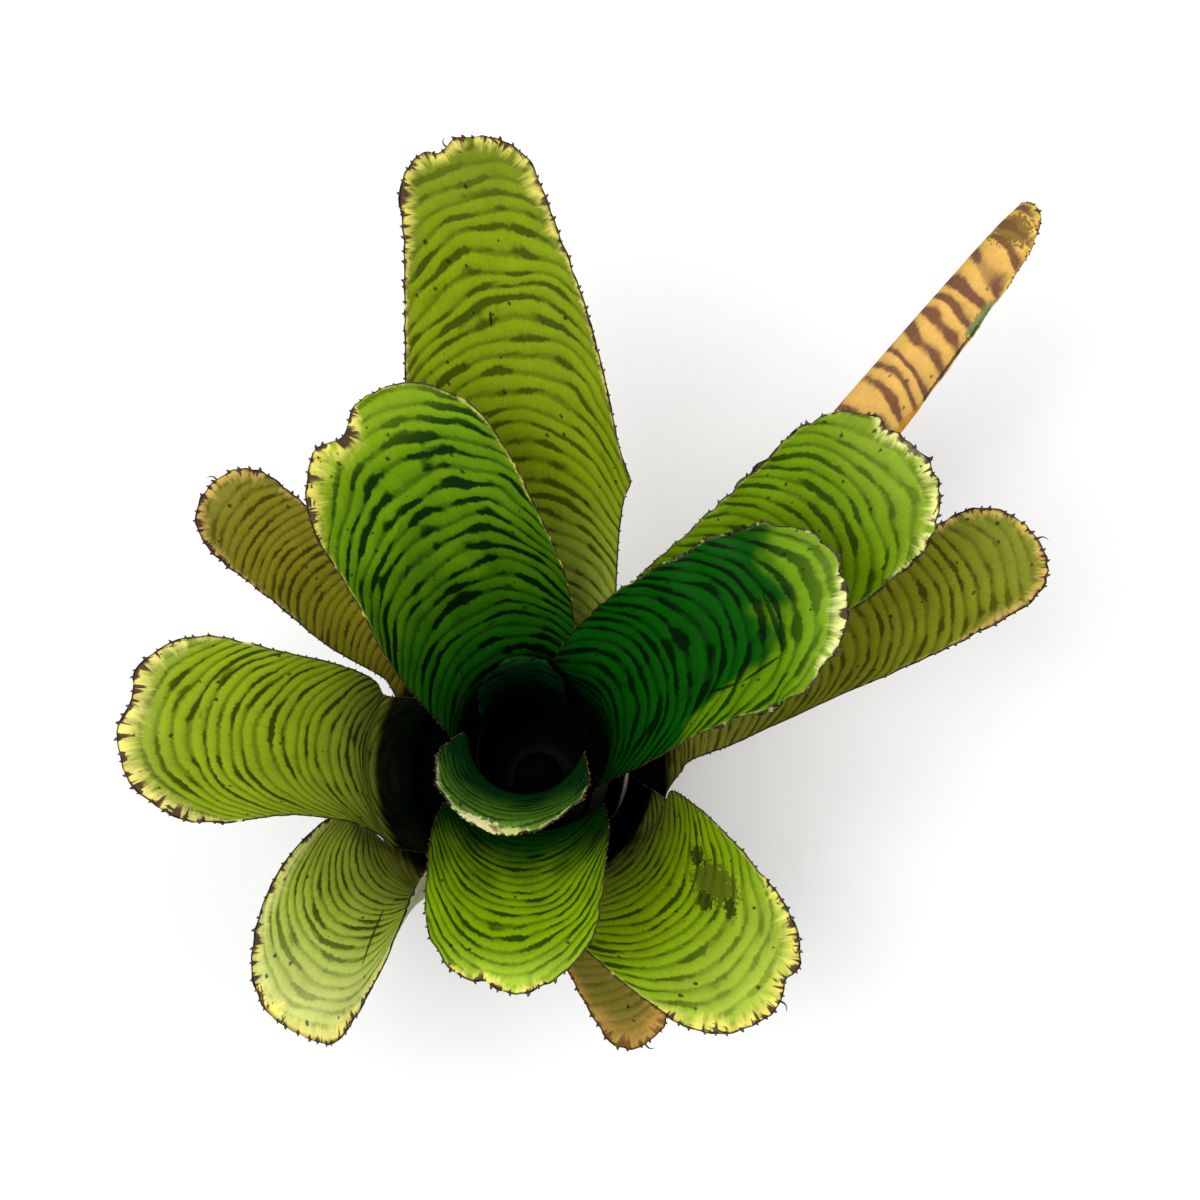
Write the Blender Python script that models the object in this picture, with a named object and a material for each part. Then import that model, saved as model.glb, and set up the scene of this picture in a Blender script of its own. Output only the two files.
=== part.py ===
# Neoregelia rosette: fourteen strap leaves clasping one short stem, in metres, +Z up.
# The origin is the middle of the flat cut face under the stem, and the leaf cup opens upward.

import math

import bmesh
import bpy
import numpy as np
from mathutils import Vector
from mathutils.bvhtree import BVHTree
from mathutils.geometry import delaunay_2d_cdt

# Stem
stem_foot_radius = 0.026
stem_narrowing = 0.22
stem_top = 0.071
stem_foot_chamfer = 0.002
stem_sides = 40
stem_ring_step = 0.0064
stem_first_ring = 0.008
stem_dome_height = 0.004

# Leaf layers: leaf 0 is the innermost one that forms the cup, and each older leaf lies outside the last
cup_radius = 0.033
layer_step = 0.0025
top_insertion = 0.062
insertion_step = 0.0032
top_throat = 0.136
throat_step = 0.0055
clasp_angle = math.radians(97)
sheath_half_width = 0.046
shoulder_height = 0.034
shoulder_share = 0.4
throat_bend = 0.045
shoulder_points = 13
wall_points = 8
blade_points = 60
narrowing_start = 0.35

# Leaf blades
leaf_thickness = 0.0012
dry_thickness = 0.0008
seat_gap = 0.0006
widest_place = 0.45
channel_settled = 0.35
tip_droop = math.radians(22)
droop_start = 0.86
tip_curve_start = 0.6
usual_flattening = 0.9
tip_roundness = 0.9
clear_distance = 0.0024
clear_reach = 0.025
clear_rounds = 7
clear_spread = 4
facing_share = 0.8
normal_softening = 4
notch_width = 0.16
bulge_reach = 0.012
wave_length = 0.024

# Teeth along the margin
tooth_pitch = 0.009
tooth_height = 0.0017
tooth_lean = 0.72
teeth_from = 0.5
sheath_pitch = 0.012

# Grid that carries each leaf's mid surface, and the coarser rows of the solid
grid_rows = 61
grid_columns = 21
solid_rows = 17
solid_columns = (-0.84, -0.56, -0.28, 0.0, 0.28, 0.56, 0.84)
base_segments = 14
side_samples = 160
tip_samples = 60

# Colours
bright_green = (0.19, 0.33, 0.02)
deep_green = (0.06, 0.19, 0.02)
olive_green = (0.22, 0.21, 0.04)
dry_tan = (0.30, 0.20, 0.07)
old_yellow = (0.70, 0.48, 0.14)
stem_brown = (0.20, 0.14, 0.07)

# One entry for each leaf, youngest first. direction is its compass turn from +X, rise and tip_rise are
# slopes above the horizontal where the blade starts and ends, curl is the radius of its channel, and
# opening is how far an outer leaf's throat stands away from the leaves inside it. Some have a roundness of
# their own, which makes the end longer and more pointed, a notch in the end, given by its place across and
# its depth, or a bulge in one margin, given by its side, its place along the leaf and its height.
leaves = [
    dict(name="leaf_young", layer=-1, direction=105, rise=84, tip_rise=80, blade=0.012, width=0.050,
         neck=0.95, tip_width=0.70, curl=0.022, turn=0, roll=0,
         throat=0.100, colour=deep_green),
    dict(name="leaf_cup_front", layer=0, direction=262, rise=84, tip_rise=54, blade=0.078, width=0.074,
         neck=0.92, tip_width=0.95, curl=0.026, turn=-4, roll=0, colour=deep_green),
    dict(name="leaf_inner_right", layer=1, direction=18, rise=59, tip_rise=35, blade=0.122, width=0.081,
         neck=0.90, tip_width=0.98, curl=0.054, turn=-20, roll=2,
         frill=0.0016, colour=deep_green),
    dict(name="leaf_inner_left", layer=2, direction=118, rise=58, tip_rise=20, blade=0.119, width=0.096,
         neck=0.79, tip_width=0.92, curl=0.061, turn=14, roll=-4,
         notch=(0.22, 0.008), colour=deep_green),
    dict(name="leaf_front", layer=3, direction=266, rise=56, tip_rise=28, blade=0.091, width=0.083,
         neck=0.88, tip_width=0.79, curl=0.053, turn=5, roll=0,
         notch=(-0.3, 0.004), colour=bright_green),
    dict(name="leaf_right", layer=4, direction=28, rise=48, tip_rise=32, blade=0.164, width=0.073,
         neck=0.92, tip_width=1.04, curl=0.060, turn=10, roll=5,
         frill=0.0014, notch=(0.25, 0.003), colour=bright_green),
    dict(name="leaf_back_long", layer=5, direction=94, rise=46, tip_rise=20, blade=0.206, width=0.096,
         neck=0.90, tip_width=0.61, curl=0.077, turn=13, roll=3,
         opening=0.008, notch=(0.25, 0.005), bulge=(-1, 0.178, 0.008), colour=bright_green),
    dict(name="leaf_left", layer=6, direction=184, rise=54, tip_rise=25, blade=0.101, width=0.083,
         neck=0.92, tip_width=1.14, curl=0.047, turn=5, roll=2,
         opening=0.032, notch=(-0.35, 0.005), colour=bright_green),
    dict(name="leaf_front_right", layer=7, direction=307, rise=57, tip_rise=9, blade=0.102, width=0.083,
         neck=1.00, tip_width=0.76, curl=0.066, turn=10, roll=9,
         opening=0.014, notch=(0.3, 0.004), colour=bright_green),
    dict(name="leaf_front_left", layer=8, direction=228, rise=64, tip_rise=-14, blade=0.089, width=0.098,
         neck=0.60, tip_width=0.58, curl=0.029, turn=31, roll=23,
         opening=0.028, colour=bright_green),
    dict(name="leaf_left_small", layer=9, direction=143, rise=38, tip_rise=28, blade=0.095, width=0.045,
         neck=0.50, tip_width=1.02, curl=0.050, turn=4, roll=0,
         opening=0.028, colour=olive_green),
    dict(name="leaf_right_olive", layer=10, direction=16, rise=39, tip_rise=26, blade=0.167, width=0.066,
         neck=0.60, tip_width=0.80, curl=0.035, turn=8, roll=-7,
         opening=0.012, colour=olive_green),
    dict(name="leaf_front_dry", layer=11, direction=288, rise=46, tip_rise=-3, blade=0.060, width=0.038,
         neck=0.95, tip_width=0.80, curl=0.045, turn=13, roll=-3,
         opening=0.012, thickness=dry_thickness, colour=dry_tan),
    dict(name="leaf_rolled_yellow", layer=12, direction=49, rise=7, tip_rise=19, blade=0.264, width=0.086,
         neck=0.44, tip_width=0.55, curl=0.016, turn=-3, roll=137, flatten=-0.3, roundness=2.0,
         opening=0.012, thickness=dry_thickness, colour=old_yellow),
]


def remove_everything():
    for thing in list(bpy.data.objects):
        bpy.data.objects.remove(thing, do_unlink=True)


def ease(value):
    value = np.clip(value, 0.0, 1.0)
    return value * value * (3 - 2 * value)


def blend(start, end, value):
    return start + (end - start) * ease(value)


def stem_radius(height):
    return stem_foot_radius - stem_narrowing * height


def leaf_profile(leaf):
    """Radius, height and slope along the leaf's middle line, and the index where the blade starts."""
    radius = cup_radius + layer_step * leaf["layer"]
    height = top_insertion - insertion_step * leaf["layer"]
    opening = leaf.get("opening", 0.0)
    shoulder = radius + opening * shoulder_share
    start_radius = stem_radius(height) + seat_gap
    quarter = np.linspace(0, math.pi / 2, shoulder_points)
    out = start_radius + (shoulder - start_radius) * np.sin(quarter)
    up = height + shoulder_height * (1 - np.cos(quarter))
    slope = np.arctan2(np.gradient(up), np.gradient(out))
    slope[0], slope[-1] = 0.0, math.pi / 2
    throat = leaf.get("throat", top_throat - throat_step * leaf["layer"])
    wall = np.linspace(up[-1], throat, wall_points + 1)[1:]
    leaning = ease(np.arange(1, wall_points + 1) / wall_points)
    out = np.concatenate([out, shoulder + (radius + opening - shoulder) * leaning])
    up = np.concatenate([up, wall])
    slope = np.concatenate([slope, np.full(wall_points, math.pi / 2)])
    throat_index = len(out) - 1
    rise, tip_rise = math.radians(leaf["rise"]), math.radians(leaf["tip_rise"])
    length = throat_bend + leaf["blade"]
    along = np.linspace(0, length, blade_points + 1)[1:]
    share = np.clip((along - throat_bend) / leaf["blade"], 0, 1)
    bend = blend(math.pi / 2, rise, along / throat_bend)
    angle = np.where(along < throat_bend, bend, rise + (tip_rise - rise) * share)
    angle = angle - tip_droop * ease((share - droop_start) / (1 - droop_start))
    step = along[1] - along[0]
    out = np.concatenate([out, out[-1] + np.cumsum(step * np.cos(angle))])
    up = np.concatenate([up, up[-1] + np.cumsum(step * np.sin(angle))])
    slope = np.concatenate([slope, angle])
    return out, up, slope, throat_index, radius + opening


def leaf_frames(leaf):
    """Middle line of the leaf in space, with its sideways and inward directions at each point."""
    out, up, slope, throat, radius = leaf_profile(leaf)
    along = np.concatenate([[0], np.cumsum(np.hypot(np.diff(out), np.diff(up)))])
    past = np.clip((along - along[throat]) / (along[-1] - along[throat]), 0, 1)
    heading = np.radians(leaf["direction"] + leaf["turn"] * past ** 2)
    way = np.stack([np.cos(heading), np.sin(heading)], 1)
    steps = np.diff(out)[:, None] * (way[1:] + way[:-1]) / 2
    flat = np.concatenate([[out[0] * way[0]], steps]).cumsum(axis=0)
    middle = np.column_stack([flat, up])
    ahead = np.column_stack([way, np.zeros(len(way))])
    side = np.column_stack([-way[:, 1], way[:, 0], np.zeros(len(way))])
    lift = np.array([0.0, 0.0, 1.0])
    blade_up = -ahead * np.sin(slope)[:, None] + lift * np.cos(slope)[:, None]
    leaving = ease(along / along[throat] * 4 - 3)[:, None]
    inward = -ahead * (1 - leaving) + blade_up * leaving
    inward /= np.linalg.norm(inward, axis=1)[:, None]
    roll = (math.radians(leaf["roll"]) * ease(past * 2))[:, None]
    side, inward = (side * np.cos(roll) + inward * np.sin(roll),
                    inward * np.cos(roll) - side * np.sin(roll))
    return along, throat, past, out, radius, middle, side, inward


def half_widths(leaf, along, throat, past, out):
    half = leaf["width"] / 2
    neck, tip = leaf["neck"] * half, leaf["tip_width"] * half
    risen = (along / along[throat] - narrowing_start) / (1 - narrowing_start)
    sheath = blend(sheath_half_width, neck, risen)
    lower = blend(neck, half, past / widest_place)
    upper = blend(half, tip, (past - widest_place) / (1 - widest_place))
    wide = np.where(past <= 0, sheath, np.where(past < widest_place, lower, upper))
    return np.minimum(wide, clasp_angle * out), tip


def leaf_grid(leaf):
    """Rows and columns of points on the leaf's mid surface, and the same points laid out flat."""
    along, throat, past, out, radius, middle, side, inward = leaf_frames(leaf)
    wide, tip = half_widths(leaf, along, throat, past, out)
    curl = leaf["curl"]
    opening = curl * leaf.get("flatten", usual_flattening) * ease(past * 2 - 1)
    channel = blend(radius, curl, past / channel_settled) + opening
    channel = np.where(past <= 0, out, channel)
    share = np.linspace(0, 1, grid_rows)
    points = np.zeros((grid_rows, grid_columns, 3))
    flat = np.zeros((grid_rows, grid_columns, 2))
    for column, across in enumerate(np.sin(np.linspace(-math.pi / 2, math.pi / 2, grid_columns))):
        cut_back = leaf.get("roundness", tip_roundness) * tip * (1 - math.sqrt(max(0.0, 1 - across ** 2)))
        notch_place, notch_depth = leaf.get("notch", (0.0, 0.0))
        cut_back += notch_depth * math.exp(-((across - notch_place) / notch_width) ** 2)
        place = share * along[-1] - cut_back * ease((share - tip_curve_start) / (1 - tip_curve_start))
        ring = np.interp(place, along, channel)
        bulge_side, bulge_place, bulge_height = leaf.get("bulge", (0, 0.0, 0.0))
        bulge = bulge_height * np.exp(-abs(place - bulge_place) / bulge_reach)
        bulge *= max(0.0, across * bulge_side) ** 2
        offset = (np.interp(place, along, wide) + bulge) * across
        angle = offset / ring
        frill = leaf.get("frill", 0.0) * abs(across) ** 3 * np.sin(math.tau * place / wave_length)
        reach = np.interp(place, along, past)
        raised = ring * (1 - np.cos(angle)) + frill * ease(reach * 3 - 1) * ease(9 - reach * 10)

        def read(values):
            return np.column_stack([np.interp(place, along, values[:, axis]) for axis in range(3)])

        points[:, column] = (read(middle) + read(side) * (ring * np.sin(angle))[:, None]
                             + read(inward) * raised[:, None])
        flat[:, column, 0] = offset
        flat[:, column, 1] = place
    return points, flat


def grid_tree(points):
    rows, columns = points.shape[:2]
    corners = [Vector(p) for p in points.reshape(-1, 3)]
    faces = []
    for row in range(rows - 1):
        for column in range(columns - 1):
            a = row * columns + column
            faces.append((a, a + 1, a + columns + 1))
            faces.append((a, a + columns + 1, a + columns))
    return BVHTree.FromPolygons(corners, faces)


def push_from(points, tree):
    """How far each point has to move to lie outside the leaf in tree, whose faces point outward."""
    push = np.zeros_like(points)
    for index in np.ndindex(points.shape[:2]):
        place, normal, _, distance = tree.find_nearest(Vector(points[index]), clear_reach)
        if place is None:
            continue
        outside = (Vector(points[index]) - place).dot(normal)
        if abs(outside) < facing_share * distance or outside > clear_distance:
            continue
        push[index] = np.array(normal) * (clear_distance - outside)
    return push


def soften(field):
    """Averages a field with its neighbours along and across the leaf."""
    padded = np.pad(field, ((1, 1), (1, 1), (0, 0)), mode="edge")
    return (padded[:-2, 1:-1] + padded[2:, 1:-1] + padded[1:-1, :-2] + padded[1:-1, 2:]) / 4


def bend_clear(grids):
    """Bends each older leaf clear of the younger leaves inside it."""
    trees = []
    for points in grids:
        for turn in range(clear_rounds):
            last = turn == clear_rounds - 1
            for tree in trees:
                push = push_from(points, tree)
                if not last:
                    spread = push
                    size = np.linalg.norm(push, axis=2, keepdims=True)
                    for _ in range(clear_spread):
                        spread = soften(spread)
                        held = np.linalg.norm(spread, axis=2, keepdims=True) < size
                        spread = np.where(held, push, spread)
                    push = spread
                points += push
        trees.append(grid_tree(points))


def read_grid(grid, share, across):
    """Value of a grid at a share of the length and a place from -1 to 1 across."""
    rows, columns = grid.shape[:2]
    row = min(max(share, 0.0), 1.0) * (rows - 1)
    column = (math.asin(min(max(across, -1.0), 1.0)) / math.pi + 0.5) * (columns - 1)
    r, c = min(int(row), rows - 2), min(int(column), columns - 2)
    fr, fc = row - r, column - c
    top = grid[r, c] * (1 - fc) + grid[r, c + 1] * fc
    low = grid[r + 1, c] * (1 - fc) + grid[r + 1, c + 1] * fc
    return top * (1 - fr) + low * fr


def grid_normals(points):
    across = np.gradient(points, axis=1)
    down = np.gradient(points, axis=0)
    normals = np.cross(across, down)
    for _ in range(normal_softening):
        normals = soften(normals / np.maximum(np.linalg.norm(normals, axis=2, keepdims=True), 1e-12))
    return normals / np.linalg.norm(normals, axis=2, keepdims=True)


def margin_places(points, throat_share):
    """Evenly spaced places along both sides and the tip, each with a flag for a tooth."""
    quarter = math.pi / 2
    path = [(share, -1.0) for share in np.linspace(0, 1, side_samples)]
    path += [(1.0, math.sin(angle)) for angle in np.linspace(-quarter, quarter, tip_samples)[1:-1]]
    path += [(share, 1.0) for share in np.linspace(1, 0, side_samples)]
    spots = np.array([read_grid(points, *place) for place in path])
    run = np.concatenate([[0], np.cumsum(np.linalg.norm(np.diff(spots, axis=0), axis=1))])
    first = run[next(i for i, place in enumerate(path) if place[0] >= throat_share)]
    last = run[-1] - first
    shares, acrosses = np.array(path).T
    sheath_steps = max(2, round(first / sheath_pitch))
    teeth = max(6, round((last - first) / tooth_pitch))
    stops = [(first * i / sheath_steps, False) for i in range(sheath_steps)]
    for tooth in range(teeth):
        start = first + (last - first) * tooth / teeth
        pitch = (last - first) / teeth
        ahead = tooth_lean if start < run[-1] / 2 else 1 - tooth_lean
        stops += [(start, False), (start + pitch * ahead, True)]
    stops += [(last + (run[-1] - last) * i / sheath_steps, False) for i in range(sheath_steps + 1)]
    return [(np.interp(at, run, shares), np.interp(at, run, acrosses), tooth) for at, tooth in stops]


def leaf_solid(leaf, points, flat):
    """Closed solid of the leaf: the same triangles on both faces, joined round the toothed margin."""
    normals = grid_normals(points)
    rim = margin_places(points, teeth_from * leaf_share(leaf))
    rim += [(0.0, across, False) for across in np.linspace(1, -1, base_segments + 1)[1:-1]]
    spots = [read_grid(points, share, across) for share, across, _ in rim]
    maps = [read_grid(flat, share, across) for share, across, _ in rim]
    facing = [read_grid(normals, share, across) for share, across, _ in rim]
    count = len(rim)
    for index, (_, _, tooth) in enumerate(rim):
        if not tooth:
            continue
        ahead = spots[(index + 1) % count] - spots[index - 1]
        outward = np.cross(facing[index], ahead)
        outward /= np.linalg.norm(outward)
        spots[index] = spots[index] + outward * tooth_height
        flat_ahead = maps[(index + 1) % count] - maps[index - 1]
        flat_out = np.array([-flat_ahead[1], flat_ahead[0]]) / np.linalg.norm(flat_ahead)
        maps[index] = maps[index] + flat_out * tooth_height
    for share in np.linspace(0, 1, solid_rows + 2)[1:-1]:
        for across in solid_columns:
            spots.append(read_grid(points, share, across))
            maps.append(read_grid(flat, share, across))
            facing.append(read_grid(normals, share, across))
    edges = [(i, (i + 1) % count) for i in range(count)]
    corners = [Vector(place) for place in maps]
    _, _, triangles, origins, _, _ = delaunay_2d_cdt(corners, edges, [], 1, 1e-7)
    back = [group[0] for group in origins]
    mesh = bmesh.new()
    half = leaf.get("thickness", leaf_thickness) / 2
    upper = [mesh.verts.new(spot + normal * half) for spot, normal in zip(spots, facing)]
    lower = [mesh.verts.new(spot - normal * half) for spot, normal in zip(spots, facing)]
    for triangle in triangles:
        a, b, c = (back[i] for i in triangle)
        mesh.faces.new((upper[a], upper[b], upper[c]))
        mesh.faces.new((lower[c], lower[b], lower[a]))
    for a, b in edges:
        mesh.faces.new((upper[b], lower[b], lower[a], upper[a]))
    bmesh.ops.triangulate(mesh, faces=mesh.faces[:])
    return mesh


def leaf_share(leaf):
    """Share of the leaf's whole length where the blade leaves the cup wall."""
    along, throat, *_ = leaf_frames(leaf)
    return along[throat] / along[-1]


def stem_solid():
    """Turned tapering stem: a flat foot with a small chamfer, and a domed top."""
    profile = [(0.0, 0.0), (stem_foot_radius - stem_foot_chamfer, 0.0)]
    profile.append((stem_radius(stem_foot_chamfer), stem_foot_chamfer))
    dome_foot = stem_top - stem_dome_height
    for height in np.arange(stem_first_ring, dome_foot, stem_ring_step):
        profile.append((stem_radius(height), height))
    for angle in np.radians((0, 35, 65)):
        radius = stem_radius(dome_foot) * math.cos(angle)
        profile.append((radius, dome_foot + stem_dome_height * math.sin(angle)))
    profile.append((0.0, stem_top))
    mesh = bmesh.new()
    line = [mesh.verts.new((radius, 0, height)) for radius, height in profile]
    edges = [mesh.edges.new(pair) for pair in zip(line, line[1:])]
    bmesh.ops.spin(mesh, geom=line + edges, cent=(0, 0, 0), axis=(0, 0, 1), angle=math.tau,
                   steps=stem_sides, use_duplicate=False, use_merge=True)
    bmesh.ops.remove_doubles(mesh, verts=mesh.verts[:], dist=0.00001)
    bmesh.ops.recalc_face_normals(mesh, faces=mesh.faces[:])
    return mesh


def add_object(name, mesh, colour, roughness):
    data = bpy.data.meshes.new(name)
    mesh.to_mesh(data)
    mesh.free()
    thing = bpy.data.objects.new(name, data)
    bpy.context.scene.collection.objects.link(thing)
    material = bpy.data.materials.new(name + "_finish")
    material.use_nodes = True
    shader = material.node_tree.nodes["Principled BSDF"]
    shader.inputs["Base Color"].default_value = (*colour, 1)
    shader.inputs["Roughness"].default_value = roughness
    shader.inputs["Metallic"].default_value = 0
    data.materials.append(material)
    data.shade_smooth()
    data.set_sharp_from_angle(angle=math.radians(40))
    return thing


def main():
    remove_everything()
    add_object("stem", stem_solid(), stem_brown, 0.85)
    grids, flats = zip(*(leaf_grid(leaf) for leaf in leaves))
    bend_clear(grids)
    for leaf, points, flat in zip(leaves, grids, flats):
        add_object(leaf["name"], leaf_solid(leaf, points, flat), leaf["colour"], 0.45)


main()
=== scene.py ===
# Neoregelia: a rosette of banded strap leaves that clasp one short cut stem round a dark cup.
import math

import bmesh
import bpy
import numpy as np
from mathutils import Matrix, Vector
from mathutils.bvhtree import BVHTree


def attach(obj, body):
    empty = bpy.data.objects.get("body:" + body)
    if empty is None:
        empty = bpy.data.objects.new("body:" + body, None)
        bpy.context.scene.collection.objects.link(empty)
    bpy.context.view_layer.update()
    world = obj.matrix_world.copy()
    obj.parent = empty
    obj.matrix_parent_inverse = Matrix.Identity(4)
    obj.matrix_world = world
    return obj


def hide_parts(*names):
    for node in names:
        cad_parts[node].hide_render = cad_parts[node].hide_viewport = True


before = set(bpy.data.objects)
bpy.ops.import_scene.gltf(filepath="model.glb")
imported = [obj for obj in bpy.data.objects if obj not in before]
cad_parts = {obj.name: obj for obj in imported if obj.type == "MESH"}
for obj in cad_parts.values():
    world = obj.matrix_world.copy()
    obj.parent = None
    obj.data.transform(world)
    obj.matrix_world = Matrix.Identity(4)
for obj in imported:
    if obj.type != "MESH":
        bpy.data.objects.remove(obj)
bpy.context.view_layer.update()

world = bpy.context.scene.world or bpy.data.worlds.new("studio")
bpy.context.scene.world = world
print("frame loaded:", len(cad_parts), "nodes")


# Small helpers

def tint(red, green, blue):  # an 8-bit screen colour as the shader wants it
    parts = [c / 255 for c in (red, green, blue)]
    return tuple(c / 12.92 if c <= 0.04045 else ((c + 0.055) / 1.055) ** 2.4 for c in parts) + (1.0,)


def newGroup(name, kind, inputs, outputs):  # a node group with named sockets
    tree = bpy.data.node_groups.new(name, kind)
    for label, socket, value in inputs:
        made = tree.interface.new_socket(name=label, in_out="INPUT", socket_type="NodeSocket" + socket)
        if value is not None:
            made.default_value = value
    for label, socket in outputs:
        tree.interface.new_socket(name=label, in_out="OUTPUT", socket_type="NodeSocket" + socket)
    return tree, tree.nodes.new("NodeGroupInput").outputs, tree.nodes.new("NodeGroupOutput").inputs


def put(tree, kind, sockets=None, **settings):  # one node, its settings and what feeds it
    made = tree.nodes.new(kind)
    for key, value in settings.items():
        setattr(made, key, value)
    for key, value in (sockets or {}).items():
        socket = made.inputs[key]
        for single in value if isinstance(value, list) else [value]:
            if isinstance(single, bpy.types.NodeSocket):
                tree.links.new(single, socket)
            else:
                socket.default_value = single
    return made


def calc(tree, operation, *values):
    made = tree.nodes.new("ShaderNodeMath")
    made.operation = operation
    for socket, value in zip(made.inputs, values):
        if isinstance(value, bpy.types.NodeSocket):
            tree.links.new(value, socket)
        else:
            socket.default_value = value
    return made.outputs[0]


def fade(tree, value, low, high, start=0.0, end=1.0):  # a smooth step from low to high
    return put(tree, "ShaderNodeMapRange", {0: value, 1: low, 2: high, 3: start, 4: end},
               interpolation_type="SMOOTHSTEP").outputs[0]


def grain(tree, parts, scale=1.0, detail=2.0, roughness=0.5):  # noise on a vector, or on three numbers
    if isinstance(parts, tuple):
        parts = put(tree, "ShaderNodeCombineXYZ", dict(enumerate(parts))).outputs[0]
    return put(tree, "ShaderNodeTexNoise", {"Vector": parts, "Scale": scale, "Detail": detail,
                                            "Roughness": roughness}).outputs[0]


def blendColour(tree, share, first, second, way="MIX"):
    made = put(tree, "ShaderNodeMix", {0: share, 6: first, 7: second}, data_type="RGBA")
    made.blend_type = way
    return made.outputs[2]


# Leaf form: the same rule as the solids follow, in metres

rosette = {
    "stemFootRadius": 0.026, "stemNarrowing": 0.22, "stemTop": 0.071,
    "cupRadius": 0.033, "layerStep": 0.0025, "topInsertion": 0.062, "insertionStep": 0.0032,
    "topThroat": 0.136, "throatStep": 0.0055, "claspAngle": math.radians(97), "sheathHalfWidth": 0.046,
    "shoulderShare": 0.4,
    "shoulderHeight": 0.034, "throatBend": 0.045, "shoulderPoints": 13, "wallPoints": 8, "bladePoints": 60,
    "narrowingStart": 0.35, "seatGap": 0.0006, "widestPlace": 0.45, "channelSettled": 0.35,
    "tipDroop": math.radians(22), "droopStart": 0.86, "tipCurveStart": 0.6, "usualFlattening": 0.9,
    "tipRoundness": 0.9, "notchWidth": 0.16, "bulgeReach": 0.012, "waveLength": 0.024, "gridRows": 61, "gridColumns": 21,
    "clearDistance": 0.0024, "clearReach": 0.025, "clearRounds": 7, "clearSpread": 4, "facingShare": 0.8,
}

# name, layer, direction, rise, tip rise, blade, width, neck, tip width, curl, turn, roll, and what only some have
leafTable = [
    ("leaf_young", -1, 105, 84, 80, 0.012, 0.050, 0.95, 0.70, 0.022, 0, 0, {"throat": 0.100}),
    ("leaf_cup_front", 0, 262, 84, 54, 0.078, 0.074, 0.92, 0.95, 0.026, -4, 0, {}),
    ("leaf_inner_right", 1, 18, 59, 35, 0.122, 0.081, 0.90, 0.98, 0.054, -20, 2, {"frill": 0.0016}),
    ("leaf_inner_left", 2, 118, 58, 20, 0.119, 0.096, 0.79, 0.92, 0.061, 14, -4, {"notch": (0.22, 0.008)}),
    ("leaf_front", 3, 266, 56, 28, 0.091, 0.083, 0.88, 0.79, 0.053, 5, 0, {"notch": (-0.3, 0.004)}),
    ("leaf_right", 4, 28, 48, 32, 0.164, 0.073, 0.92, 1.04, 0.060, 10, 5,
     {"frill": 0.0014, "notch": (0.25, 0.003)}),
    ("leaf_back_long", 5, 94, 46, 20, 0.206, 0.096, 0.90, 0.61, 0.077, 13, 3,
     {"opening": 0.008, "notch": (0.25, 0.005), "bulge": (-1, 0.178, 0.008)}),
    ("leaf_left", 6, 184, 54, 25, 0.101, 0.083, 0.92, 1.14, 0.047, 5, 2,
     {"opening": 0.032, "notch": (-0.35, 0.005)}),
    ("leaf_front_right", 7, 307, 57, 9, 0.102, 0.083, 1.00, 0.76, 0.066, 10, 9,
     {"opening": 0.014, "notch": (0.3, 0.004)}),
    ("leaf_front_left", 8, 228, 64, -14, 0.089, 0.098, 0.60, 0.58, 0.029, 31, 23, {"opening": 0.028}),
    ("leaf_left_small", 9, 143, 38, 28, 0.095, 0.045, 0.50, 1.02, 0.050, 4, 0, {"opening": 0.028}),
    ("leaf_right_olive", 10, 16, 39, 26, 0.167, 0.066, 0.60, 0.80, 0.035, 8, -7, {"opening": 0.012}),
    ("leaf_front_dry", 11, 288, 46, -3, 0.060, 0.038, 0.95, 0.80, 0.045, 13, -3, {"opening": 0.012}),
    ("leaf_rolled_yellow", 12, 49, 7, 19, 0.264, 0.086, 0.44, 0.55, 0.016, -3, 137,
     {"opening": 0.012, "flatten": -0.3, "roundness": 2.0}),
]
leafLabels = ("name", "layer", "direction", "rise", "tipRise", "blade", "width", "neck", "tipWidth", "curl",
              "turn", "roll")
leaves = [dict(zip(leafLabels, row), **row[-1]) for row in leafTable]


def ease(value):
    value = np.clip(value, 0.0, 1.0)
    return value * value * (3 - 2 * value)


def between(start, end, value):
    return start + (end - start) * ease(value)


def stemRadius(height):
    return rosette["stemFootRadius"] - rosette["stemNarrowing"] * height


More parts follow.
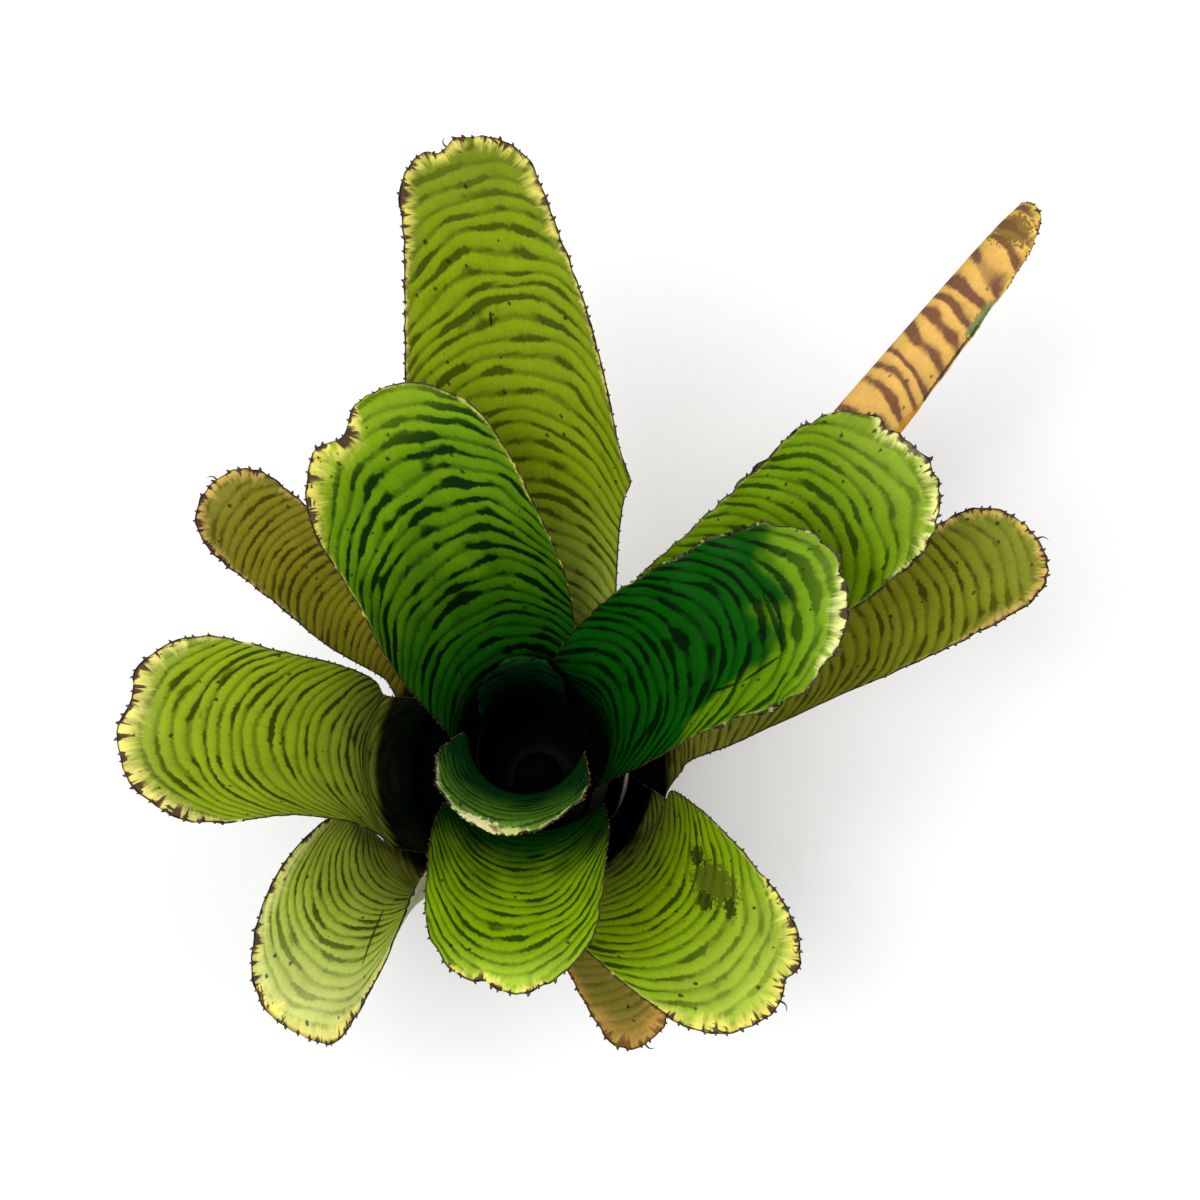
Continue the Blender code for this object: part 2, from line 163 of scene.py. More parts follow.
def leafProfile(leaf):  # radius, height and slope along the middle line
    form = rosette
    radius = form["cupRadius"] + form["layerStep"] * leaf["layer"]
    height = form["topInsertion"] - form["insertionStep"] * leaf["layer"]
    opening = leaf.get("opening", 0.0)
    shoulder = radius + opening * form["shoulderShare"]
    startRadius = stemRadius(height) + form["seatGap"]
    quarter = np.linspace(0, math.pi / 2, form["shoulderPoints"])
    out = startRadius + (shoulder - startRadius) * np.sin(quarter)
    up = height + form["shoulderHeight"] * (1 - np.cos(quarter))
    slope = np.arctan2(np.gradient(up), np.gradient(out))
    slope[0], slope[-1] = 0.0, math.pi / 2
    throatHeight = leaf.get("throat", form["topThroat"] - form["throatStep"] * leaf["layer"])
    wall = np.linspace(up[-1], throatHeight, form["wallPoints"] + 1)[1:]
    leaning = ease(np.arange(1, form["wallPoints"] + 1) / form["wallPoints"])
    out = np.concatenate([out, shoulder + (radius + opening - shoulder) * leaning])
    up = np.concatenate([up, wall])
    slope = np.concatenate([slope, np.full(form["wallPoints"], math.pi / 2)])
    throat = len(out) - 1
    rise, tipRise = math.radians(leaf["rise"]), math.radians(leaf["tipRise"])
    along = np.linspace(0, form["throatBend"] + leaf["blade"], form["bladePoints"] + 1)[1:]
    share = np.clip((along - form["throatBend"]) / leaf["blade"], 0, 1)
    bend = between(math.pi / 2, rise, along / form["throatBend"])
    angle = np.where(along < form["throatBend"], bend, rise + (tipRise - rise) * share)
    angle = angle - form["tipDroop"] * ease((share - form["droopStart"]) / (1 - form["droopStart"]))
    step = along[1] - along[0]
    out = np.concatenate([out, out[-1] + np.cumsum(step * np.cos(angle))])
    up = np.concatenate([up, up[-1] + np.cumsum(step * np.sin(angle))])
    return out, up, np.concatenate([slope, angle]), throat, radius + opening


def leafGrid(leaf):  # points on the mid surface, the same points laid out flat, and the throat's share
    form = rosette
    out, up, slope, throat, radius = leafProfile(leaf)
    along = np.concatenate([[0], np.cumsum(np.hypot(np.diff(out), np.diff(up)))])
    past = np.clip((along - along[throat]) / (along[-1] - along[throat]), 0, 1)
    heading = np.radians(leaf["direction"] + leaf["turn"] * past ** 2)
    way = np.stack([np.cos(heading), np.sin(heading)], 1)
    steps = np.diff(out)[:, None] * (way[1:] + way[:-1]) / 2
    middle = np.column_stack([np.concatenate([[out[0] * way[0]], steps]).cumsum(axis=0), up])
    level = np.zeros(len(way))
    ahead = np.column_stack([way, level])
    side = np.column_stack([-way[:, 1], way[:, 0], level])
    bladeUp = -ahead * np.sin(slope)[:, None] + np.array([0.0, 0.0, 1.0]) * np.cos(slope)[:, None]
    leaving = ease(along / along[throat] * 4 - 3)[:, None]
    inward = -ahead * (1 - leaving) + bladeUp * leaving
    inward /= np.linalg.norm(inward, axis=1)[:, None]
    roll = (math.radians(leaf["roll"]) * ease(past * 2))[:, None]
    side, inward = (side * np.cos(roll) + inward * np.sin(roll), inward * np.cos(roll) - side * np.sin(roll))

    half = leaf["width"] / 2
    neck, tip = leaf["neck"] * half, leaf["tipWidth"] * half
    risen = (along / along[throat] - form["narrowingStart"]) / (1 - form["narrowingStart"])
    lower = between(neck, half, past / form["widestPlace"])
    upper = between(half, tip, (past - form["widestPlace"]) / (1 - form["widestPlace"]))
    wide = np.where(past <= 0, between(form["sheathHalfWidth"], neck, risen),
                    np.where(past < form["widestPlace"], lower, upper))
    wide = np.minimum(wide, form["claspAngle"] * out)

    curl = leaf["curl"]
    opening = curl * leaf.get("flatten", form["usualFlattening"]) * ease(past * 2 - 1)
    channel = np.where(past <= 0, out, between(radius, curl, past / form["channelSettled"]) + opening)
    rows, columns = form["gridRows"], form["gridColumns"]
    share = np.linspace(0, 1, rows)
    points, flat = np.zeros((rows, columns, 3)), np.zeros((rows, columns, 2))
    notchPlace, notchDepth = leaf.get("notch", (0.0, 0.0))
    bulgeSide, bulgePlace, bulgeHeight = leaf.get("bulge", (0, 0.0, 0.0))
    curveStart = form["tipCurveStart"]
    for column, across in enumerate(np.sin(np.linspace(-math.pi / 2, math.pi / 2, columns))):
        pointed = leaf.get("roundness", form["tipRoundness"])
        cutBack = pointed * tip * (1 - math.sqrt(max(0.0, 1 - across ** 2)))
        cutBack += notchDepth * math.exp(-((across - notchPlace) / form["notchWidth"]) ** 2)
        place = share * along[-1] - cutBack * ease((share - curveStart) / (1 - curveStart))
        ring = np.interp(place, along, channel)
        bulge = bulgeHeight * np.exp(-abs(place - bulgePlace) / form["bulgeReach"])
        bulge *= max(0.0, across * bulgeSide) ** 2
        offset = (np.interp(place, along, wide) + bulge) * across
        frill = leaf.get("frill", 0.0) * abs(across) ** 3 * np.sin(math.tau * place / form["waveLength"])
        reach = np.interp(place, along, past)
        raised = ring * (1 - np.cos(offset / ring)) + frill * ease(reach * 3 - 1) * ease(9 - reach * 10)

        def read(values):
            return np.column_stack([np.interp(place, along, values[:, axis]) for axis in range(3)])

        sideways = (ring * np.sin(offset / ring))[:, None]
        points[:, column] = read(middle) + read(side) * sideways + read(inward) * raised[:, None]
        flat[:, column] = np.column_stack([offset, place])
    return points, flat, along[throat] / along[-1]


def gridTree(points):
    rows, columns = points.shape[:2]
    faces = []
    for row in range(rows - 1):
        for column in range(columns - 1):
            a = row * columns + column
            faces += [(a, a + 1, a + columns + 1), (a, a + columns + 1, a + columns)]
    return BVHTree.FromPolygons([Vector(p) for p in points.reshape(-1, 3)], faces)


def pushFrom(points, tree):  # how far each point moves to lie outside the leaf in tree
    push = np.zeros_like(points)
    for index in np.ndindex(points.shape[:2]):
        place, normal, _, distance = tree.find_nearest(Vector(points[index]), rosette["clearReach"])
        if place is None:
            continue
        outside = (Vector(points[index]) - place).dot(normal)
        if abs(outside) < rosette["facingShare"] * distance or outside > rosette["clearDistance"]:
            continue
        push[index] = np.array(normal) * (rosette["clearDistance"] - outside)
    return push


def soften(field):
    padded = np.pad(field, ((1, 1), (1, 1), (0, 0)), mode="edge")
    return (padded[:-2, 1:-1] + padded[2:, 1:-1] + padded[1:-1, :-2] + padded[1:-1, 2:]) / 4


def bendClear(grids):  # older leaves bend clear of the younger ones inside them
    trees = []
    for points in grids:
        for turn in range(rosette["clearRounds"]):
            for tree in trees:
                push = pushFrom(points, tree)
                if turn < rosette["clearRounds"] - 1:
                    spread = push
                    size = np.linalg.norm(push, axis=2, keepdims=True)
                    for _ in range(rosette["clearSpread"]):
                        spread = soften(spread)
                        held = np.linalg.norm(spread, axis=2, keepdims=True) < size
                        spread = np.where(held, push, spread)
                    push = spread
                points += push
        trees.append(gridTree(points))


grids, flats, throats = zip(*(leafGrid(leaf) for leaf in leaves))
bendClear(grids)
print("leaf form laid out:", len(grids), "leaves")


# Leaf detail

leafDetail = {
    "rows": 190, "columns": 45, "tipRows": (0.0042, 0.0028, 0.0018, 0.0010, 0.0005, 0.0),
    "bladeThickness": 0.0013, "baseThickness": 0.0020, "edgeThickness": 0.0007, "edgeRounding": 0.9,
    "rootDepth": 0.0025,
    "raggedHeight": 0.0005, "raggedReach": 0.0026, "raggedStep": 3.1,
    "crumpleHeight": 0.0006, "crumpleReach": 0.0050, "crumpleStep": 4.6,
    "spineLength": 0.0010, "spineWidth": 0.0016, "spinePitch": 5.4, "spineJitter": 1.5, "spinesFrom": -0.27,
    "hookLength": 0.0042, "hookWidth": 0.0011,
}


def throughGrid(values, rowPlaces, columnPlaces):  # a smooth surface through the coarse grid
    def spread(field, places):
        index = np.minimum(places.astype(int), len(field) - 2)
        t = (places - index).reshape(-1, 1, 1)
        padded = np.concatenate([2 * field[:1] - field[1:2], field, 2 * field[-1:] - field[-2:-1]])
        a, b, c, d = (padded[index + k] for k in range(4))
        return 0.5 * (2 * b + (c - a) * t + (2 * a - 5 * b + 4 * c - d) * t ** 2
                      + (3 * b - a - 3 * c + d) * t ** 3)
    tall = spread(values, rowPlaces)
    return np.swapaxes(spread(np.swapaxes(tall, 0, 1), columnPlaces), 0, 1)


def waves(draw, places, step):  # smooth random line, about one bump for each step
    knots = draw.uniform(-1, 1, int(places.max() / step) + 4)
    index = (places / step).astype(int)
    t = places / step - index
    a, b, c, d = (knots[index + k] for k in range(4))
    return 0.5 * (2 * b + (c - a) * t + (2 * a - 5 * b + 4 * c - d) * t ** 2
                  + (3 * b - a - 3 * c + d) * t ** 3)


def surfaceNormals(points):
    normals = np.cross(np.gradient(points, axis=0), np.gradient(points, axis=1))
    return normals / np.maximum(np.linalg.norm(normals, axis=2, keepdims=True), 1e-12)


def unit(vectors):
    return vectors / np.maximum(np.linalg.norm(vectors, axis=-1, keepdims=True), 1e-12)


def meetMargin(places, rim, run, nearest):  # distance to the margin line, and how far along it that is
    found = []
    for start in (np.clip(nearest - 1, 0, len(rim) - 2), np.clip(nearest, 0, len(rim) - 2)):
        step = rim[start + 1] - rim[start]
        share = ((places - rim[start]) * step).sum(axis=-1) / np.maximum((step ** 2).sum(axis=-1), 1e-9)
        share = np.clip(share, 0, 1)
        gap = np.linalg.norm(places - rim[start] - step * share[..., None], axis=-1)
        found.append((gap, run[start] + (run[start + 1] - run[start]) * share))
    (before, runBefore), (after, runAfter) = found
    return np.minimum(before, after), np.where(before < after, runBefore, runAfter)


def midSurface(leaf, points, flat, throatShare, finish, seed):  # fine mesh that the leaf builder thickens
    detail = leafDetail
    draw = np.random.default_rng(seed)
    shares = np.linspace(0, 1, detail["rows"])
    shares = np.concatenate([shares[shares < 1 - detail["tipRows"][0] - 0.002], 1 - np.array(detail["tipRows"])])
    rowPlaces = shares * (rosette["gridRows"] - 1)
    columnPlaces = np.linspace(0, rosette["gridColumns"] - 1, detail["columns"])
    fine = throughGrid(points, rowPlaces, columnPlaces)
    laid = throughGrid(flat, rowPlaces, columnPlaces) * 1000
    rows, columns = fine.shape[:2]

    # the margin runs up the first column, over the tip and down the last column
    rim = [(row, 0) for row in range(rows)] + [(rows - 1, column) for column in range(1, columns)]
    rim += [(row, columns - 1) for row in range(rows - 2, -1, -1)]
    rimRows, rimColumns = np.array(rim).T
    rimFlat = laid[rimRows, rimColumns]
    run = np.concatenate([[0], np.cumsum(np.linalg.norm(np.diff(rimFlat, axis=0), axis=1))])
    gaps = np.linalg.norm(laid.reshape(-1, 1, 2) - rimFlat[None], axis=2)
    nearest = gaps.argmin(axis=1).reshape(rows, columns)
    margin, marginRun = meetMargin(laid, rimFlat, run, nearest)
    normals = surfaceNormals(fine)
    rimAhead = unit(np.gradient(fine[rimRows, rimColumns], axis=0))
    rimOut = unit(np.cross(rimAhead, normals[rimRows, rimColumns]))
    total = laid[-1, columns // 2, 1]
    past = (laid[..., 1] / total - throatShare) / (1 - throatShare)

    # ragged and crumpled margin, stronger towards the tip
    tipward = ease(past * 1.6 - 0.5)
    ragged = waves(draw, run, detail["raggedStep"])[nearest] * (0.35 + 0.65 * tipward) * finish["ragged"]
    crumple = waves(draw, run, detail["crumpleStep"])[nearest] * tipward * finish["crumple"]
    reachOut = np.exp(-margin / 1000 / detail["raggedReach"]) * detail["raggedHeight"] * ragged
    reachUp = np.exp(-margin / 1000 / detail["crumpleReach"]) * detail["crumpleHeight"] * crumple
    opened = ease(past * 6)
    fine = fine + rimOut[nearest] * (reachOut * opened)[..., None] + normals * (reachUp * opened)[..., None]

    # thickness: fleshy at the base, thin and rounded at the margin
    inside = np.clip(margin / detail["edgeRounding"], 0, 1)
    body = between(detail["baseThickness"], detail["bladeThickness"], past + 0.6)
    thick = between(detail["edgeThickness"], body, margin / 9) * np.sqrt(1 - (1 - inside) ** 2)
    root = fine[:1].copy()
    root[..., :2] *= 1 - detail["rootDepth"] / np.linalg.norm(root[..., :2], axis=2, keepdims=True)
    fine = np.concatenate([root, fine])
    laid = np.concatenate([laid[:1], laid])
    thick = np.concatenate([np.zeros((1, columns)), thick])
    margin = np.concatenate([margin[:1] + detail["rootDepth"], margin])
    past = np.concatenate([past[:1], past])
    marginRun = np.concatenate([marginRun[:1], marginRun])
    outward = unit(np.concatenate([rimOut[nearest][:1], rimOut[nearest]]))
    uphill = np.where(np.arange(len(run)) < len(run) / 2, 1, -1)[:, None] * rimAhead
    tipWay = np.concatenate([uphill[nearest][:1], uphill[nearest]])
    rows += 1

    # spines stand on margin points at uneven steps
    stops = np.arange(detail["spinePitch"] / 2, run[-1], detail["spinePitch"])
    stops = stops + draw.uniform(-1, 1, len(stops)) * detail["spineJitter"]
    stops = run[np.abs(run[:, None] - stops).argmin(axis=0)]
    fromSpine = np.abs(marginRun[..., None] - stops).min(axis=2)
    spineHere = np.zeros((rows, columns))
    isStop = np.isin(run, stops)
    spineHere[rimRows[isStop] + 1, rimColumns[isStop]] = 1.0
    spineHere[past < detail["spinesFrom"]] = 0.0
    spineSize = finish["spines"] * ease(past * 4 + 1.6) * (0.7 + 0.4 * tipward[np.maximum(np.arange(rows) - 1, 0)])
    hookSize = np.zeros((rows, columns))
    for across in finish["hooks"]:
        hookSize[-1, int(round((math.asin(across) / math.pi + 0.5) * (columns - 1)))] = 1.0

    mesh = bpy.data.meshes.new("midSurface")
    order = np.arange(rows * columns).reshape(rows, columns)
    quads = np.stack([order[:-1, :-1], order[1:, :-1], order[1:, 1:], order[:-1, 1:]], axis=-1).reshape(-1, 4)
    mesh.from_pydata(fine.reshape(-1, 3).tolist(), [], quads.tolist())
    place = np.concatenate([laid, margin[..., None]], axis=2)
    for label, kind, key, values in (
        ("leafPlace", "FLOAT_VECTOR", "vector", place),
        ("leafRun", "FLOAT", "value", marginRun),
        ("leafShare", "FLOAT", "value", past),
        ("leafThickness", "FLOAT", "value", thick),
        ("spineOut", "FLOAT_VECTOR", "vector", outward),
        ("spineAhead", "FLOAT_VECTOR", "vector", tipWay),
        ("spineSize", "FLOAT", "value", spineSize),
        ("spineHere", "FLOAT", "value", spineHere),
        ("fromSpine", "FLOAT", "value", fromSpine),
        ("hookSize", "FLOAT", "value", hookSize),
    ):
        layer = mesh.attributes.new(label, kind, "POINT")
        layer.data.foreach_set(key, np.ascontiguousarray(values, np.float32).ravel())
    return mesh


# Leaf builder: gives the mid surface two faces and sets spines along its margin

def leafBuilder():
    tree, given, result = newGroup("leafBuilder", "GeometryNodeTree", [
        ("Geometry", "Geometry", None), ("Thickness", "Float", 1.0),
        ("Spine Length", "Float", 0.0013), ("Spine Width", "Float", 0.002),
        ("Hook Length", "Float", 0.004), ("Hook Width", "Float", 0.001), ("Seed", "Int", 0),
        ("Leaf Finish", "Material", None), ("Spine Finish", "Material", None)], [("Geometry", "Geometry")])

    def named(label, kind="FLOAT"):
        return put(tree, "GeometryNodeInputNamedAttribute", {"Name": label}, data_type=kind).outputs[0]

    def scaled(vector, amount):
        return put(tree, "ShaderNodeVectorMath", {0: vector, "Scale": amount}, operation="SCALE").outputs[0]

    def chance(low, high, shift):  # one random number for each point
        seed = calc(tree, "ADD", given["Seed"], shift)
        return put(tree, "FunctionNodeRandomValue", {2: low, 3: high, "Seed": seed}).outputs[1]

    surface = given["Geometry"]
    normal = put(tree, "GeometryNodeInputNormal").outputs[0]
    half = calc(tree, "MULTIPLY", calc(tree, "MULTIPLY", named("leafThickness"), given["Thickness"]), 0.5)
    faces = []
    for side, way in ((0, 1), (1, -1)):
        moved = put(tree, "GeometryNodeSetPosition",
                    {"Geometry": surface, "Offset": scaled(normal, calc(tree, "MULTIPLY", half, way))}).outputs[0]
        if side:
            moved = put(tree, "GeometryNodeFlipFaces", {"Mesh": moved}).outputs[0]
        faces.append(put(tree, "GeometryNodeStoreNamedAttribute",
                         {"Geometry": moved, "Name": "leafSide", "Value": float(side)},
                         data_type="FLOAT", domain="FACE").outputs[0])
    shell = put(tree, "GeometryNodeJoinGeometry", {0: faces}).outputs[0]
    shell = put(tree, "GeometryNodeMergeByDistance", {"Geometry": shell, "Distance": 1e-7}).outputs[0]
    shell = put(tree, "GeometryNodeSetMaterial", {"Geometry": shell, "Material": given["Leaf Finish"]}).outputs[0]

    def thorn(length, width, start, middle, end, flat):  # a curved thorn up the Z axis that leans towards X
        corners = {}
        for key, (x, z) in (("Start", start), ("Middle", middle), ("End", end)):
            corners[key] = put(tree, "ShaderNodeCombineXYZ", {0: calc(tree, "MULTIPLY", length, x), 1: 0.0,
                                                              2: calc(tree, "MULTIPLY", length, z)}).outputs[0]
        line = put(tree, "GeometryNodeCurveQuadraticBezier", dict(corners, Resolution=6)).outputs[0]
        taper = put(tree, "GeometryNodeSplineParameter").outputs[0]
        radius = calc(tree, "POWER", calc(tree, "SUBTRACT", 1.03, taper), 0.8)
        ring = put(tree, "GeometryNodeCurvePrimitiveCircle",
                   {"Resolution": 7, "Radius": calc(tree, "MULTIPLY", width, 0.5)}).outputs[0]
        made = put(tree, "GeometryNodeCurveToMesh", {"Curve": line, "Profile Curve": ring, "Scale": radius,
                                                     "Fill Caps": True}).outputs[0]
        return put(tree, "GeometryNodeTransform", {"Geometry": made, "Scale": (1.0, flat, 1.0)}).outputs[0]

    spine = thorn(given["Spine Length"], given["Spine Width"], (-0.1, -0.35), (-0.05, 0.55), (0.45, 1.0), 0.45)
    hook = thorn(given["Hook Length"], given["Hook Width"], (0.0, -0.2), (-0.15, 0.75), (0.75, 0.85), 0.6)

    def standing(thorn, label, size):  # one thorn on each point that the label marks
        here = put(tree, "FunctionNodeCompare", {"A": named(label), "B": 0.5}, data_type="FLOAT",
                   operation="GREATER_THAN").outputs[0]
        spots = put(tree, "GeometryNodeMeshToPoints", {"Mesh": surface, "Selection": here}).outputs[0]
        return put(tree, "GeometryNodeInstanceOnPoints",
                   {"Points": spots, "Instance": thorn, "Rotation": turn, "Scale": size}).outputs[0]

    turn = put(tree, "FunctionNodeAxesToRotation",
               {"Primary Axis": named("spineOut", "FLOAT_VECTOR"), "Secondary Axis": named("spineAhead", "FLOAT_VECTOR")},
               primary_axis="Z", secondary_axis="X").outputs[0]
    spines = standing(spine, "spineHere", calc(tree, "MULTIPLY", named("spineSize"), chance(0.65, 1.25, 5)))
    hooks = standing(hook, "hookSize", (1.0, 1.0, 1.0))
    marked = put(tree, "GeometryNodeJoinGeometry", {0: [spines, hooks]}).outputs[0]
    marked = put(tree, "GeometryNodeStoreNamedAttribute",
                 {"Geometry": put(tree, "GeometryNodeRealizeInstances", {"Geometry": marked}).outputs[0],
                  "Name": "isSpine", "Value": 1.0}, data_type="FLOAT", domain="FACE").outputs[0]
    whole = put(tree, "GeometryNodeJoinGeometry", {0: [shell, marked]}).outputs[0]
    whole = put(tree, "GeometryNodeSetShadeSmooth", {"Geometry": whole}).outputs[0]
    whole = put(tree, "GeometryNodeRealizeInstances", {"Geometry": whole}).outputs[0]
    dark = put(tree, "FunctionNodeCompare", {"A": named("isSpine"), "B": 0.5}, data_type="FLOAT",
               operation="GREATER_THAN").outputs[0]
    whole = put(tree, "GeometryNodeSetMaterial", {"Geometry": whole, "Selection": dark,
                                                  "Material": given["Spine Finish"]}).outputs[0]
    tree.links.new(whole, result[0])
    return tree


def buildWith(tree, mesh, name, values):  # runs a node tree on a mesh and keeps the result as a plain mesh
    source = bpy.data.objects.new(name + "Source", mesh)
    bpy.context.scene.collection.objects.link(source)
    modifier = source.modifiers.new("builder", "NODES")
    modifier.node_group = tree
    for item in tree.interface.items_tree:
        if item.item_type == "SOCKET" and item.in_out == "INPUT" and item.name in values:
            modifier[item.identifier] = values[item.name]
    depsgraph = bpy.context.evaluated_depsgraph_get()
    made = bpy.data.meshes.new_from_object(source.evaluated_get(depsgraph), depsgraph=depsgraph)
    bpy.data.objects.remove(source)
    thing = bpy.data.objects.new(name, made)
    made.name = name
    bpy.context.scene.collection.objects.link(thing)
    return thing


# Leaf colour groups: places are in millimetres, across, along and in from the margin

def crossBandsGroup():
    tree, given, result = newGroup("crossBands", "ShaderNodeTree", [
        ("Place", "Vector", None), ("Spacing", "Float", 6.4), ("Arch", "Float", 0.01),
        ("Breaks", "Float", 0.6), ("Lift", "Float", 0.0), ("Seed", "Float", 0.0)],
        [("Dash", "Float"), ("Haze", "Float")])
    u, v, _ = put(tree, "ShaderNodeSeparateXYZ", {0: given["Place"]}).outputs
    seed, spacing = given["Seed"], given["Spacing"]

    def times(value, factor):
        return calc(tree, "MULTIPLY", value, factor)

    def spread(across, along, shift, detail):  # noise stretched across the leaf, from about -0.5 to 0.5
        return calc(tree, "SUBTRACT", grain(tree, (times(u, across), times(along, 1.0), calc(
            tree, "ADD", seed, shift)), detail=detail), 0.5)

    squared = times(u, u)
    bend = times(times(squared, given["Arch"]), calc(tree, "MULTIPLY_ADD", squared, 0.0003, 1.0))
    phase = calc(tree, "ADD", v, bend)
    phase = calc(tree, "ADD", phase, times(spread(0.7, times(v, 0.20), 0.0, 2.5), 2.0))
    phase = calc(tree, "ADD", phase, times(times(spread(0.026, times(v, 0.036), 5.0, 1.0), spacing), 1.9))
    beat = calc(tree, "DIVIDE", phase, spacing)
    wave = calc(tree, "MULTIPLY_ADD", calc(tree, "COSINE", times(beat, math.tau)), 0.5, 0.5)
    split = calc(tree, "COSINE", calc(tree, "MULTIPLY_ADD", beat, 2 * math.tau, 1.3))
    broken = times(spread(0.070, times(beat, 0.90), 11.0, 2.0), times(given["Breaks"], 4.0))
    level = calc(tree, "ADD", calc(tree, "MULTIPLY_ADD", wave, 0.74, broken), times(split, 0.07))
    level = calc(tree, "ADD", level, given["Lift"])
    tree.links.new(fade(tree, level, 0.38, 0.92), result["Dash"])
    faint = calc(tree, "ADD", calc(tree, "MULTIPLY_ADD", broken, 0.30, wave), times(split, 0.20))
    tree.links.new(fade(tree, faint, 0.10, 1.05), result["Haze"])
    return tree


def specksGroup():
    tree, given, result = newGroup("leafSpecks", "ShaderNodeTree", [
        ("Place", "Vector", None), ("Cell", "Float", 8.0), ("Amount", "Float", 0.3), ("Seed", "Float", 0.0)],
        [("Speck", "Float")])
    u, v, _ = put(tree, "ShaderNodeSeparateXYZ", {0: given["Place"]}).outputs
    wobble = calc(tree, "MULTIPLY", grain(tree, (u, v, given["Seed"]), scale=0.9, detail=2.0), 1.9)
    spot = put(tree, "ShaderNodeCombineXYZ", {0: calc(tree, "ADD", u, wobble),
                                              1: calc(tree, "ADD", calc(tree, "MULTIPLY", v, 0.8), wobble),
                                              2: calc(tree, "MULTIPLY", given["Seed"], 10.0)}).outputs[0]
    cells = put(tree, "ShaderNodeTexVoronoi", {"Vector": spot, "Scale": calc(tree, "DIVIDE", 1.0, given["Cell"])},
                voronoi_dimensions="2D")
    red, green, _ = put(tree, "ShaderNodeSeparateColor", {0: cells.outputs["Color"]}).outputs
    size = calc(tree, "MULTIPLY_ADD", green, 0.085, 0.030)
    near = fade(tree, calc(tree, "DIVIDE", cells.outputs["Distance"], size), 0.5, 1.4, 1.0, 0.0)
    shown = calc(tree, "GREATER_THAN", given["Amount"], red)
    tree.links.new(calc(tree, "MULTIPLY", near, shown), result["Speck"])
    return tree


